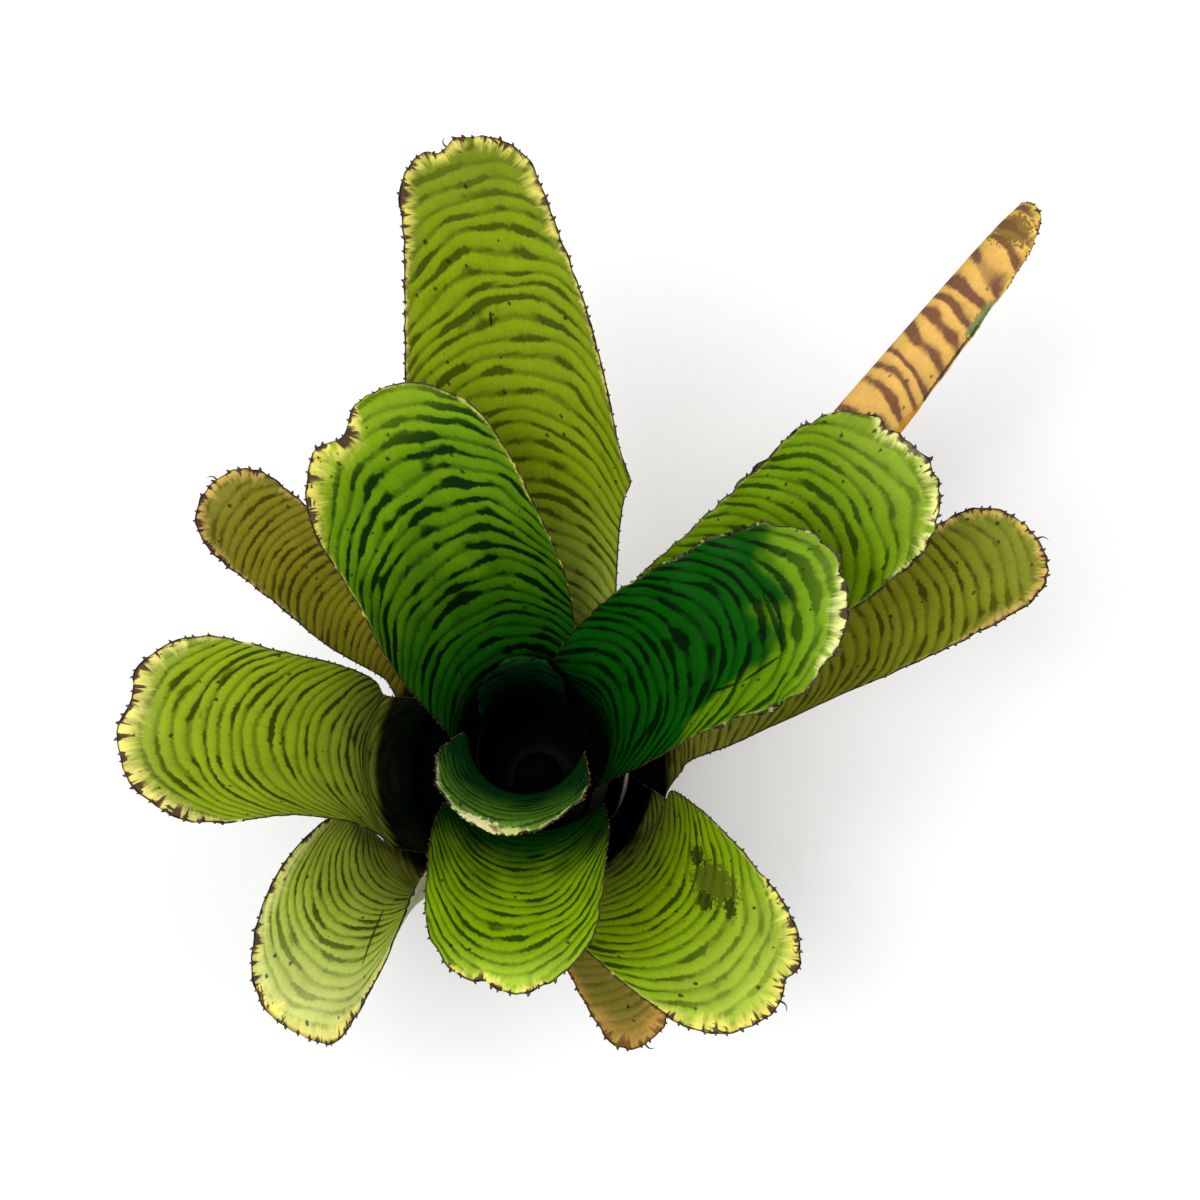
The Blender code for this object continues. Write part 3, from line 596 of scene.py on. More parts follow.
def edgeGroup():
    tree, given, result = newGroup("leafEdge", "ShaderNodeTree", [
        ("Place", "Vector", None), ("Run", "Float", 0.0), ("Spine", "Float", 0.0), ("Share", "Float", 0.0),
        ("Width", "Float", 6.0), ("Side", "Float", 0.3), ("Purple", "Float", 0.5), ("Low", "Float", -200.0),
        ("High", "Float", 200.0), ("Tip From", "Float", 0.66), ("Seed", "Float", 0.0)],
        [("Pale", "Float"), ("Yellow", "Float"), ("Purple", "Float"), ("Line", "Float"), ("Crimp", "Float")])
    across, _, inward = put(tree, "ShaderNodeSeparateXYZ", {0: given["Place"]}).outputs

    def along(stretch, depth, shift, detail):  # noise that runs in from the margin as streaks
        return grain(tree, (calc(tree, "MULTIPLY", given["Run"], stretch), calc(tree, "MULTIPLY", inward, depth),
                            calc(tree, "ADD", given["Seed"], shift)), detail=detail)

    patch = along(0.15, 0.05, 0.0, 1.0)
    streak = calc(tree, "SUBTRACT", along(0.80, 0.08, 3.0, 2.0), 0.5)
    tip = fade(tree, given["Share"], given["Tip From"], calc(tree, "MULTIPLY_ADD", given["Tip From"], 0.6, 0.5))
    window = calc(tree, "MULTIPLY", fade(tree, calc(tree, "SUBTRACT", across, given["Low"]), -7.0, 7.0),
                  fade(tree, calc(tree, "SUBTRACT", given["High"], across), -7.0, 7.0))
    tip = calc(tree, "MULTIPLY", tip, window)
    sides = calc(tree, "MULTIPLY", fade(tree, given["Share"], 0.10, 0.70), given["Side"])
    reach = calc(tree, "MULTIPLY", given["Width"], calc(tree, "MAXIMUM", tip, sides))
    width = calc(tree, "ADD", calc(tree, "MULTIPLY_ADD", patch, 1.5, 0.20), calc(tree, "MULTIPLY", streak, 1.5))
    inside = calc(tree, "DIVIDE", inward, calc(tree, "MAXIMUM", calc(tree, "MULTIPLY", reach, width), 0.05))
    yellow = calc(tree, "MULTIPLY", fade(tree, inside, 0.05, 1.35, 1.0, 0.0), fade(tree, patch, 0.30, 0.46))
    spike = calc(tree, "MULTIPLY_ADD", streak, 0.40, along(0.26, 0.0, 7.0, 1.0))
    spike = calc(tree, "MULTIPLY_ADD", calc(tree, "SUBTRACT", given["Purple"], 0.5), 0.40, spike)
    spike = calc(tree, "MULTIPLY_ADD", inside, -0.20, spike)
    purple = calc(tree, "MULTIPLY", fade(tree, spike, 0.45, 0.55), fade(tree, inside, 0.4, 1.2, 1.0, 0.0))
    root = calc(tree, "DIVIDE", inward, calc(tree, "MAXIMUM", calc(tree, "MULTIPLY", reach, calc(
        tree, "MULTIPLY_ADD", patch, 1.9, -0.20)), 0.4))
    root = calc(tree, "MULTIPLY_ADD", given["Spine"], 0.66, root)
    root = calc(tree, "MULTIPLY", fade(tree, calc(tree, "MULTIPLY_ADD", streak, 0.8, root), 0.75, 1.15, 1.0, 0.0),
                fade(tree, reach, 0.3, 1.0))
    purple = calc(tree, "MAXIMUM", purple, root)
    depth = calc(tree, "MULTIPLY", reach, calc(tree, "MULTIPLY_ADD", streak, 1.6, calc(
        tree, "MULTIPLY_ADD", patch, 0.8, 1.5)))
    pale = fade(tree, calc(tree, "DIVIDE", inward, calc(tree, "MAXIMUM", depth, 0.05)), 0.15, 1.3, 1.0, 0.0)
    line = calc(tree, "MULTIPLY", fade(tree, inward, 0.30, 1.05, 1.0, 0.0),
                calc(tree, "MULTIPLY", fade(tree, along(0.22, 0.0, 13.0, 1.0), 0.26, 0.44),
                     fade(tree, given["Share"], -0.25, 0.1)))
    crimp = calc(tree, "SUBTRACT", along(0.23, 0.03, 17.0, 1.0), 0.5)
    crimp = calc(tree, "MULTIPLY", calc(tree, "MULTIPLY", crimp, fade(tree, inward, 0.5, 13.0, 1.0, 0.0)), tip)
    for label, value in (("Pale", pale), ("Yellow", yellow), ("Purple", purple), ("Line", line), ("Crimp", crimp)):
        tree.links.new(value, result[label])
    return tree


def veinsGroup():
    tree, given, result = newGroup("leafVeins", "ShaderNodeTree", [
        ("Place", "Vector", None), ("Seed", "Float", 0.0)], [("Tone", "Float"), ("Height", "Float")])
    u, v, _ = put(tree, "ShaderNodeSeparateXYZ", {0: given["Place"]}).outputs
    fine = grain(tree, (calc(tree, "MULTIPLY", u, 2.6), calc(tree, "MULTIPLY", v, 0.035), given["Seed"]), detail=2.0)
    ribs = grain(tree, (calc(tree, "MULTIPLY", u, 0.55), calc(tree, "MULTIPLY", v, 0.012), given["Seed"]), detail=1.0)
    pores = grain(tree, (u, v, given["Seed"]), scale=3.2, detail=2.0)
    swell = grain(tree, (calc(tree, "MULTIPLY", u, 0.05), calc(tree, "MULTIPLY", v, 0.16), given["Seed"]), detail=1.0)
    tone = calc(tree, "ADD", calc(tree, "MULTIPLY", fine, 0.55), calc(tree, "MULTIPLY", pores, 0.45))
    tree.links.new(tone, result["Tone"])
    height = calc(tree, "ADD", calc(tree, "MULTIPLY", fine, 0.55), calc(tree, "MULTIPLY", ribs, 0.9))
    height = calc(tree, "ADD", height, calc(tree, "MULTIPLY", pores, 0.28))
    height = calc(tree, "ADD", height, calc(tree, "MULTIPLY", swell, 1.4))
    tree.links.new(height, result["Height"])
    return tree


def strokeGroup():
    tree, given, result = newGroup("leafScar", "ShaderNodeTree", [
        ("Place", "Vector", None), ("Across", "Float", 0.0), ("Along", "Float", 0.0), ("Length", "Float", 5.0),
        ("Width", "Float", 1.0), ("Turn", "Float", 0.0), ("Ragged", "Float", 0.6)], [("Mask", "Float")])
    u, v, _ = put(tree, "ShaderNodeSeparateXYZ", {0: given["Place"]}).outputs
    du, dv = calc(tree, "SUBTRACT", u, given["Across"]), calc(tree, "SUBTRACT", v, given["Along"])
    cosine, sine = calc(tree, "COSINE", given["Turn"]), calc(tree, "SINE", given["Turn"])
    a = calc(tree, "SUBTRACT", calc(tree, "MULTIPLY", dv, cosine), calc(tree, "MULTIPLY", du, sine))
    b = calc(tree, "ADD", calc(tree, "MULTIPLY", dv, sine), calc(tree, "MULTIPLY", du, cosine))
    a, b = calc(tree, "DIVIDE", a, given["Length"]), calc(tree, "DIVIDE", b, given["Width"])
    far = calc(tree, "SQRT", calc(tree, "ADD", calc(tree, "MULTIPLY", a, a), calc(tree, "MULTIPLY", b, b)))
    rough = calc(tree, "SUBTRACT", grain(tree, (u, v, 3.0), scale=0.6, detail=3.0, roughness=0.65), 0.5)
    far = calc(tree, "MULTIPLY_ADD", rough, calc(tree, "MULTIPLY", given["Ragged"], 2.2), far)
    tree.links.new(fade(tree, far, 0.75, 1.05, 1.0, 0.0), result["Mask"])
    return tree


def coatGroup(bands, specks, edge, veins):  # the whole skin of a leaf, upper face and underside
    colours = ("Light", "Band", "Throat", "Deep", "Tip", "Yellow", "Purple", "Line", "Scurf", "Scurf Band", "Well")
    numbers = (("Spacing", 6.4), ("Arch", 0.01), ("Breaks", 0.6), ("Lift", 0.0), ("Band Strength", 1.0),
               ("Specks", 0.3), ("Deep From", 0.0), ("Deep To", 0.4), ("Deep Lean", 0.0), ("Well From", -0.3),
               ("Well To", 0.0), ("Tip Strength", 0.7), ("Tip From", 0.66), ("Pale From", 0.8), ("Edge Width", 6.0), ("Edge Side", 0.3),
               ("Edge Purple", 0.5), ("Edge Low", -200.0), ("Edge High", 200.0), ("Crimp", 0.5),
               ("Scurf Amount", 1.0), ("Clasp Shade", 0.5), ("Seed", 0.0))
    tree, given, result = newGroup(
        "leafCoat", "ShaderNodeTree",
        [(c, "Color", None) for c in colours] + [(n, "Float", value) for n, value in numbers],
        [("Colour", "Color"), ("Roughness", "Float"), ("Height", "Float")])
    place = put(tree, "ShaderNodeAttribute", attribute_name="leafPlace").outputs["Vector"]
    run = put(tree, "ShaderNodeAttribute", attribute_name="leafRun").outputs["Fac"]
    spine = put(tree, "ShaderNodeAttribute", attribute_name="fromSpine").outputs["Fac"]
    share = put(tree, "ShaderNodeAttribute", attribute_name="leafShare").outputs["Fac"]
    side = put(tree, "ShaderNodeAttribute", attribute_name="leafSide").outputs["Fac"]
    seed = given["Seed"]

    def use(group, **values):
        made = put(tree, "ShaderNodeGroup", node_tree=group)
        for key, value in values.items():
            tree.links.new(value, made.inputs[key.replace("_", " ")])
        return made.outputs

    def times(*values):
        product = values[0]
        for value in values[1:]:
            product = calc(tree, "MULTIPLY", product, value)
        return product

    banded = use(bands, Place=place, Spacing=given["Spacing"], Arch=given["Arch"], Breaks=given["Breaks"],
                 Lift=given["Lift"], Seed=seed)
    spotted = use(specks, Place=place, Amount=given["Specks"], Seed=seed)
    edged = use(edge, Place=place, Run=run, Spine=spine, Share=share, Width=given["Edge Width"],
                Side=given["Edge Side"], Purple=given["Edge Purple"], Low=given["Edge Low"],
                High=given["Edge High"], Tip_From=given["Tip From"], Seed=seed)
    veined = use(veins, Place=place, Seed=seed)
    cloud = grain(tree, place, scale=0.045, detail=2.0)
    across, _, inward = put(tree, "ShaderNodeSeparateXYZ", {0: place}).outputs

    # upper face
    pale = calc(tree, "MAXIMUM", edged["Pale"], times(fade(tree, share, given["Pale From"], 1.0), 0.7))
    calm = calc(tree, "SUBTRACT", 1.0, times(pale, given["Tip Strength"]))
    pattern = calc(tree, "MAXIMUM", banded["Dash"], times(banded["Haze"], 0.55))
    pattern = times(pattern, given["Band Strength"], calm)
    # towards the throat the ground turns to the throat colour: a real pale throat on the outer leaves, and on the inner
    # leaves a dark green that is painted shade of the cup
    ground = blendColour(tree, times(fade(tree, share, -0.05, 0.42, 1.0, 0.0), 0.85), given["Light"], given["Throat"])
    ground = blendColour(tree, times(pale, 0.9), ground, given["Tip"])
    colour = blendColour(tree, pattern, ground, given["Band"])
    # darker green towards the cup: painted shade of the cup, and on leaf_inner_right also the real darker green inside
    # its imprint
    hollow = calc(tree, "MULTIPLY_ADD", calc(tree, "SUBTRACT", cloud, 0.5), 0.30, share)
    low = times(calc(tree, "MAXIMUM", calc(tree, "MULTIPLY_ADD", across, -1.0, -14.0), 0.0),
                fade(tree, share, 0.20, 0.60))
    hollow = calc(tree, "MULTIPLY_ADD", low, given["Deep Lean"], hollow)
    deep = fade(tree, hollow, given["Deep From"], given["Deep To"], 1.0, 0.0)
    shaded = blendColour(tree, pattern, given["Deep"], blendColour(tree, 0.97, given["Deep"], given["Well"]))
    colour = blendColour(tree, deep, colour, shaded)
    # near black at the base and in the axils: painted shade of the tank, partly the real darker sheath base
    well = fade(tree, share, given["Well From"], given["Well To"], 0.97, 0.0)
    colour = blendColour(tree, well, colour, given["Well"])
    colour = blendColour(tree, times(edged["Yellow"], 0.94), colour, given["Yellow"])
    colour = blendColour(tree, times(spotted["Speck"], 0.85), colour, given["Line"])

    # underside, pale with scurf, and darkened where it clasps: painted shade between the sheaths
    flecks = fade(tree, grain(tree, place, scale=2.3, detail=3.0, roughness=0.7), 0.38, 0.62)
    soft = calc(tree, "MAXIMUM", times(banded["Dash"], 0.7), times(banded["Haze"], 0.5))
    under = blendColour(tree, soft, given["Scurf"], given["Scurf Band"])
    under = blendColour(tree, calc(tree, "MULTIPLY_ADD", flecks, -0.35, calc(
        tree, "SUBTRACT", 1.0, times(given["Scurf Amount"], 0.62))), under, colour)
    clasped = calc(tree, "MAXIMUM", calc(tree, "ADD", given["Well To"], 0.12), 0.10)
    claspShadeMask = fade(tree, share, calc(tree, "SUBTRACT", clasped, 0.40), clasped, 1.0, 0.0)
    under = blendColour(tree, times(claspShadeMask, given["Clasp Shade"]), under, given["Well"])
    colour = blendColour(tree, side, colour, under)

    # both faces
    rusty = times(fade(tree, inward, 0.3, 2.8, 1.0, 0.0), banded["Haze"], fade(tree, given["Edge Side"], 0.05, 0.3),
                  fade(tree, share, 0.15, 0.5))
    colour = blendColour(tree, times(calc(tree, "MAXIMUM", edged["Purple"], times(rusty, 0.8)), 0.95), colour,
                         given["Purple"])
    colour = blendColour(tree, times(edged["Line"], 0.92), colour, given["Line"])
    mottle = grain(tree, place, scale=0.55, detail=3.0, roughness=0.6)
    bright = calc(tree, "ADD", calc(tree, "MULTIPLY_ADD", veined["Tone"], 0.50, 0.375), times(cloud, 0.45))
    bright = calc(tree, "ADD", bright, times(mottle, 0.30))
    # the crimp ridges also lighten and darken the colour: painted shading of the ridges, on top of their bump
    bright = times(bright, calc(tree, "MULTIPLY_ADD", edged["Crimp"], times(given["Crimp"], 1.6), 1.0))
    colour = put(tree, "ShaderNodeVectorMath", {0: colour, "Scale": bright}, operation="SCALE").outputs[0]
    tree.links.new(colour, result["Colour"])
    rough = calc(tree, "MULTIPLY_ADD", veined["Tone"], 0.22, 0.36)
    rough = calc(tree, "MAXIMUM", rough, times(side, 0.72))
    rough = calc(tree, "MAXIMUM", rough, times(calc(tree, "MAXIMUM", edged["Yellow"], edged["Purple"]), 0.62))
    tree.links.new(rough, result["Roughness"])
    tall = calc(tree, "ADD", veined["Height"], times(flecks, side, 0.5))
    tall = calc(tree, "ADD", tall, times(edged["Crimp"], given["Crimp"], 7.0))
    tree.links.new(tall, result["Height"])
    return tree


# What one leaf looks like. Every leaf starts from usualFinish and changes what is its own.
usualFinish = {
    "light": (128, 152, 20), "band": (34, 52, 2), "throat": (150, 150, 62), "deep": (4, 48, 6),
    "tip": (132, 152, 62), "yellow": (226, 214, 100), "purple": (58, 34, 36), "line": (26, 20, 12),
    "scurf": (206, 206, 194), "scurfBand": (124, 124, 112), "well": (2, 9, 3),
    "spacing": 6.6, "arch": 0.011, "breaks": 0.62, "lift": 0.0, "bandStrength": 0.92, "specks": 0.22,
    "deepFrom": -0.2, "deepTo": 0.0, "deepLean": 0.0, "wellFrom": -0.10, "wellTo": -0.01,
    "tipStrength": 0.7, "tipFrom": 0.66, "paleFrom": 0.8, "edgeWidth": 5.0, "edgeSide": 0.12, "edgePurple": 0.5,
    "edgeLow": -200.0, "edgeHigh": 200.0, "crimp": 0.5, "scurfAmount": 1.0, "claspShade": 0.45,
    "ragged": 1.0, "crumple": 1.0, "spines": 1.0, "hooks": (), "marks": (), "markFade": -0.8, "roughLift": 0.0,
}
# marks: across, along, length, width (mm), turn (degrees), ragged, colour
leafFinishes = {
    # the young leaf down in the cup is near black-green all over: painted shade of the cup
    "leaf_young": {
        "light": (10, 54, 20), "band": (2, 18, 6), "tip": (30, 84, 36), "throat": (4, 24, 8), "deep": (2, 22, 8),
        "scurf": (20, 48, 22), "scurfBand": (8, 24, 10), "yellow": (40, 80, 36), "purple": (10, 26, 10),
        "line": (4, 16, 6), "deepFrom": 0.3, "deepTo": 1.1, "wellFrom": -0.3, "wellTo": 0.6, "edgeWidth": 1.0,
        "crumple": 2.0, "ragged": 2.0, "spines": 0.35},
    "leaf_cup_front": {
        "claspShade": 0.96, "light": (70, 112, 20), "tip": (96, 132, 44), "band": (4, 34, 8), "deep": (6, 52, 14), "deepFrom": 0.62,
        "deepTo": 1.02, "wellFrom": -0.3, "wellTo": 0.62, "yellow": (196, 200, 130), "edgeWidth": 2.2,
        "crumple": 2.6, "ragged": 1.8, "edgePurple": 0.40, "throat": (6, 40, 10), "spacing": 4.4, "crimp": 1.0,
        "tipStrength": 0.3, "spines": 0.8,
        "marks": ((-6, 203.2, 3.0, 9.5, 6, 1.3, (214, 208, 150)), (-1, 203.6, 1.3, 3, 20, 1.2, (120, 92, 62)),
                  (5, 203.6, 2.2, 4, -6, 1.3, (186, 192, 116)), (-11, 205, 1.0, 3, 0, 1.2, (150, 128, 84)))},
    "leaf_inner_right": {
        "claspShade": 0.96, "light": (92, 132, 4), "band": (4, 38, 2), "tip": (136, 166, 46), "arch": 0.012, "spacing": 8.4,
        "breaks": 0.70, "lift": 0.10, "yellow": (228, 226, 150), "deepFrom": 0.75, "deepTo": 0.86,
        "deepLean": 0.022, "deep": (8, 76, 4), "throat": (4, 60, 6), "wellFrom": -0.3, "wellTo": 0.36,
        "edgePurple": 0.42, "crumple": 3.2, "ragged": 2.6, "edgeWidth": 6.0, "edgeLow": -28, "edgeHigh": 14,
        "tipFrom": 0.78, "crimp": 1.0,
        "marks": ((-21.5, 185, 11, 0.8, 5, 0.3, (2, 22, 4)), (-19.5, 207, 12, 0.9, -16, 0.3, (2, 22, 4)),
                  (-1.5, 215.5, 1.5, 15, -13, 0.5, (4, 30, 4)))},
    "leaf_inner_left": {
        "claspShade": 0.96, "light": (98, 132, 4), "band": (6, 40, 2), "tip": (128, 154, 26), "deepFrom": 0.15, "deepTo": 0.95,
        "deep": (18, 78, 4), "throat": (12, 58, 5), "wellFrom": -0.3, "wellTo": 0.28, "edgeWidth": 9.0,
        "edgePurple": 0.44, "edgeLow": -2, "edgeHigh": 46, "arch": 0.008, "specks": 0.4, "spacing": 7.6, "breaks": 0.74, "lift": 0.05,
        "crimp": 0.8, "bandStrength": 1.0,
        "marks": ((9, 237.5, 2.6, 5.5, 8, 0.9, (70, 44, 42)),)},
    "leaf_front": {
        "claspShade": 0.96, "light": (122, 158, 6), "band": (12, 46, 2), "tip": (168, 192, 62), "deepFrom": 0.26, "deepTo": 0.70,
        "deep": (8, 62, 6), "throat": (14, 66, 6), "arch": 0.017, "wellFrom": -0.3, "wellTo": 0.20,
        "edgePurple": 0.50, "edgeWidth": 3.4, "edgeLow": -24, "edgeHigh": 14, "tipFrom": 0.76, "crumple": 1.6,
        "spacing": 5.8, "crimp": 0.8},
    "leaf_right": {
        "claspShade": 0.96, "light": (102, 134, 4), "band": (26, 52, 2), "tip": (140, 162, 50), "edgeWidth": 6.0, "crumple": 3.2,
        "ragged": 2.6, "edgePurple": 0.50, "arch": 0.010, "bandStrength": 0.9, "yellow": (228, 224, 140),
        "edgeLow": -36, "edgeHigh": 18, "tipFrom": 0.72, "crimp": 1.0, "spacing": 7.0,
        "marks": ((1, 286, 2.4, 6, 0, 1.0, (78, 58, 60)),)},
    "leaf_back_long": {
        "light": (118, 138, 8), "band": (46, 60, 1), "tip": (108, 120, 36), "spacing": 7.8, "throat": (180, 188, 84),
        "arch": 0.0085, "bandStrength": 0.9, "edgeWidth": 6.0, "edgeSide": 0.30, "tipStrength": 0.6,
        "hooks": (0.12,), "marks": ((1.3, 251, 3.6, 0.8, 4, 0.2, (14, 20, 4)),)},
    "leaf_left": {
        "light": (138, 160, 24), "band": (34, 46, 3), "tip": (134, 150, 60), "arch": 0.012, "crimp": 0.9,
        "edgeWidth": 7.5, "edgePurple": 0.46, "throat": (150, 156, 60), "wellFrom": -0.07, "wellTo": -0.02,
        "yellow": (232, 218, 118)},
    "leaf_front_right": {
        "light": (122, 152, 6), "band": (28, 50, 2), "tip": (174, 192, 74), "arch": 0.012, "edgeWidth": 6.5,
        "paleFrom": 0.58, "tipStrength": 0.8, "edgePurple": 0.52, "hooks": (0.1,), "wellFrom": -0.3, "wellTo": -0.12, "crimp": 0.8,
        "marks": ((19.5, 172, 15, 8, 0, 1.0, (70, 78, 16)), (24, 156, 6, 4, 20, 1.0, (26, 36, 8)),
                  (11, 174, 5, 4, 0, 1.0, (28, 42, 8)), (16, 186, 5, 3, 30, 1.0, (34, 46, 10)))},
    "leaf_front_left": {
        "light": (150, 168, 50), "band": (44, 52, 6), "tip": (206, 210, 132), "arch": 0.012, "spacing": 5.4,
        "paleFrom": 0.56, "tipStrength": 0.9, "edgeWidth": 6.5, "edgePurple": 0.54, "scurfAmount": 0.5, "edgeSide": 0.6,
        "marks": ((11.5, 174, 20, 0.8, -20, 0.2, (44, 52, 12)),)},
    "leaf_left_small": {
        "light": (128, 124, 26), "band": (54, 44, 4), "tip": (112, 112, 40), "spacing": 4.8, "arch": 0.014,
        "bandStrength": 0.9, "yellow": (214, 178, 92), "edgeWidth": 4.5, "edgeSide": 0.40,
        "throat": (160, 146, 40), "hooks": (-0.3,)},
    "leaf_right_olive": {
        "light": (122, 128, 24), "band": (54, 54, 4), "tip": (120, 126, 44), "spacing": 6.2, "arch": 0.010,
        "bandStrength": 0.9, "yellow": (214, 180, 92), "edgeWidth": 4.5, "edgeSide": 0.3, "hooks": (0.05,)},
    "leaf_front_dry": {
        "light": (124, 116, 42), "band": (82, 76, 22), "tip": (172, 132, 64), "yellow": (186, 146, 74),
        "purple": (110, 78, 40), "edgeWidth": 6.0, "edgeSide": 0.4, "bandStrength": 0.7, "breaks": 0.5,
        "spacing": 4.6, "hooks": (-0.1,), "roughLift": 0.2, "throat": (120, 112, 44)},
    "leaf_rolled_yellow": {
        "light": (228, 178, 90), "band": (116, 72, 58), "throat": (226, 192, 120), "tip": (214, 170, 74),
        "yellow": (240, 204, 84), "purple": (74, 46, 36), "spacing": 12.0, "arch": 0.004, "breaks": 0.45,
        "lift": 0.16, "bandStrength": 1.0, "edgeWidth": 4.0, "edgeSide": 0.2, "scurf": (238, 202, 116),
        "scurfBand": (122, 76, 60), "scurfAmount": 0.0, "tipStrength": 0.0, "roughLift": 0.15, "specks": 0.1,
        "wellFrom": -0.4, "wellTo": -0.3, "markFade": 0.0,
        "marks": ((24.5, 326, 13, 4.5, 4, 0.9, (112, 138, 84)), (28.5, 300, 30, 1.8, 6, 0.9, (40, 46, 34)),
                  (33, 262, 14, 6.0, 0, 0.6, (206, 142, 40)), (4, 368, 10, 12, 0, 1.1, (112, 88, 44)))},
}
coatSockets = {
    "Light": "light", "Band": "band", "Throat": "throat", "Deep": "deep", "Tip": "tip", "Yellow": "yellow",
    "Purple": "purple", "Line": "line", "Scurf": "scurf", "Scurf Band": "scurfBand", "Well": "well",
    "Spacing": "spacing", "Arch": "arch", "Breaks": "breaks", "Lift": "lift", "Band Strength": "bandStrength",
    "Specks": "specks", "Deep From": "deepFrom", "Deep To": "deepTo", "Deep Lean": "deepLean",
    "Well From": "wellFrom", "Well To": "wellTo", "Tip Strength": "tipStrength", "Tip From": "tipFrom",
    "Pale From": "paleFrom",
    "Edge Width": "edgeWidth", "Edge Side": "edgeSide", "Edge Purple": "edgePurple", "Edge Low": "edgeLow",
    "Edge High": "edgeHigh", "Crimp": "crimp", "Scurf Amount": "scurfAmount", "Clasp Shade": "claspShade",
}


def newMaterial(name, specular=0.3):
    material = bpy.data.materials.new(name)
    material.use_nodes = True
    shader = material.node_tree.nodes["Principled BSDF"]
    shader.inputs["Specular IOR Level"].default_value = specular
    return material, material.node_tree, shader


def leafMaterial(name, finish, coat, scar, seed):
    material, tree, shader = newMaterial(name + "Skin", 0.04)
    skin = put(tree, "ShaderNodeGroup", node_tree=coat)
    for socket, key in coatSockets.items():
        value = finish[key]
        skin.inputs[socket].default_value = tint(*value) if isinstance(value, tuple) else value
    skin.inputs["Seed"].default_value = seed
    colour = skin.outputs["Colour"]
    if finish["marks"]:
        place = put(tree, "ShaderNodeAttribute", attribute_name="leafPlace").outputs["Vector"]
        side = put(tree, "ShaderNodeAttribute", attribute_name="leafSide").outputs["Fac"]
    for across, along, length, width, turn, ragged, markColour in finish["marks"]:
        mark = put(tree, "ShaderNodeGroup", node_tree=scar)
        tree.links.new(place, mark.inputs["Place"])
        for key, value in (("Across", across), ("Along", along), ("Length", length), ("Width", width),
                           ("Turn", math.radians(turn)), ("Ragged", ragged)):
            mark.inputs[key].default_value = value
        share = calc(tree, "MULTIPLY", mark.outputs["Mask"], calc(tree, "MULTIPLY_ADD", side, finish["markFade"], 0.85))
        colour = blendColour(tree, share, colour, tint(*markColour))
    tree.links.new(colour, shader.inputs["Base Color"])
    rough = calc(tree, "ADD", skin.outputs["Roughness"], finish["roughLift"])
    tree.links.new(rough, shader.inputs["Roughness"])
    bump = put(tree, "ShaderNodeBump", {"Strength": 0.55, "Distance": 0.00035, "Height": skin.outputs["Height"]})
    tree.links.new(bump.outputs[0], shader.inputs["Normal"])
    return material


def spineMaterial():
    material, tree, shader = newMaterial("spineHorn", 0.4)
    coords = put(tree, "ShaderNodeTexCoord").outputs["Object"]
    mottle = grain(tree, coords, scale=700.0, detail=2.0)
    colour = blendColour(tree, fade(tree, mottle, 0.35, 0.7), tint(34, 22, 18), tint(84, 58, 40))
    tree.links.new(colour, shader.inputs["Base Color"])
    tree.links.new(calc(tree, "MULTIPLY_ADD", mottle, 0.25, 0.38), shader.inputs["Roughness"])
    bump = put(tree, "ShaderNodeBump", {"Strength": 0.4, "Distance": 0.0002, "Height": mottle})
    tree.links.new(bump.outputs[0], shader.inputs["Normal"])
    return material


bandsTree, specksTree, edgeTree, veinsTree = crossBandsGroup(), specksGroup(), edgeGroup(), veinsGroup()
coatTree = coatGroup(bandsTree, specksTree, edgeTree, veinsTree)
scarTree = strokeGroup()
builderTree = leafBuilder()
spineHorn = spineMaterial()

for number, (leaf, points, flat, throatShare) in enumerate(zip(leaves, grids, flats, throats)):
    finish = dict(usualFinish, **leafFinishes[leaf["name"]])
    words = leaf["name"].split("_")
    pieceName = words[0] + "".join(word.capitalize() for word in words[1:])
    skin = leafMaterial(pieceName, finish, coatTree, scarTree, 1.7 * number + 0.4)
    mesh = midSurface(leaf, points, flat, throatShare, finish, 40 + number)
    piece = buildWith(builderTree, mesh, pieceName, {
        "Thickness": 1.0, "Spine Length": leafDetail["spineLength"], "Spine Width": leafDetail["spineWidth"],
        "Hook Length": leafDetail["hookLength"], "Hook Width": leafDetail["hookWidth"], "Seed": number,
        "Leaf Finish": skin, "Spine Finish": spineHorn})
    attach(piece, "root")
    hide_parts(leaf["name"])
    print("leaf made:", pieceName, len(piece.data.polygons), "faces")


# Stem

stemDetail = {
    "rings": 90, "sides": 96, "foot": 0.0, "chamfer": 0.002, "domeHeight": 0.004, "scarStep": 0.0032,
    "scarDepth": 0.00045, "barkDepth": 0.00035,
    "bark": (128, 96, 60), "barkDark": (62, 42, 26), "cut": (196, 172, 124), "scarPale": (176, 150, 108),
    "wet": (1, 3, 1), "darkFrom": 0.036, "darkTo": 0.054,
}


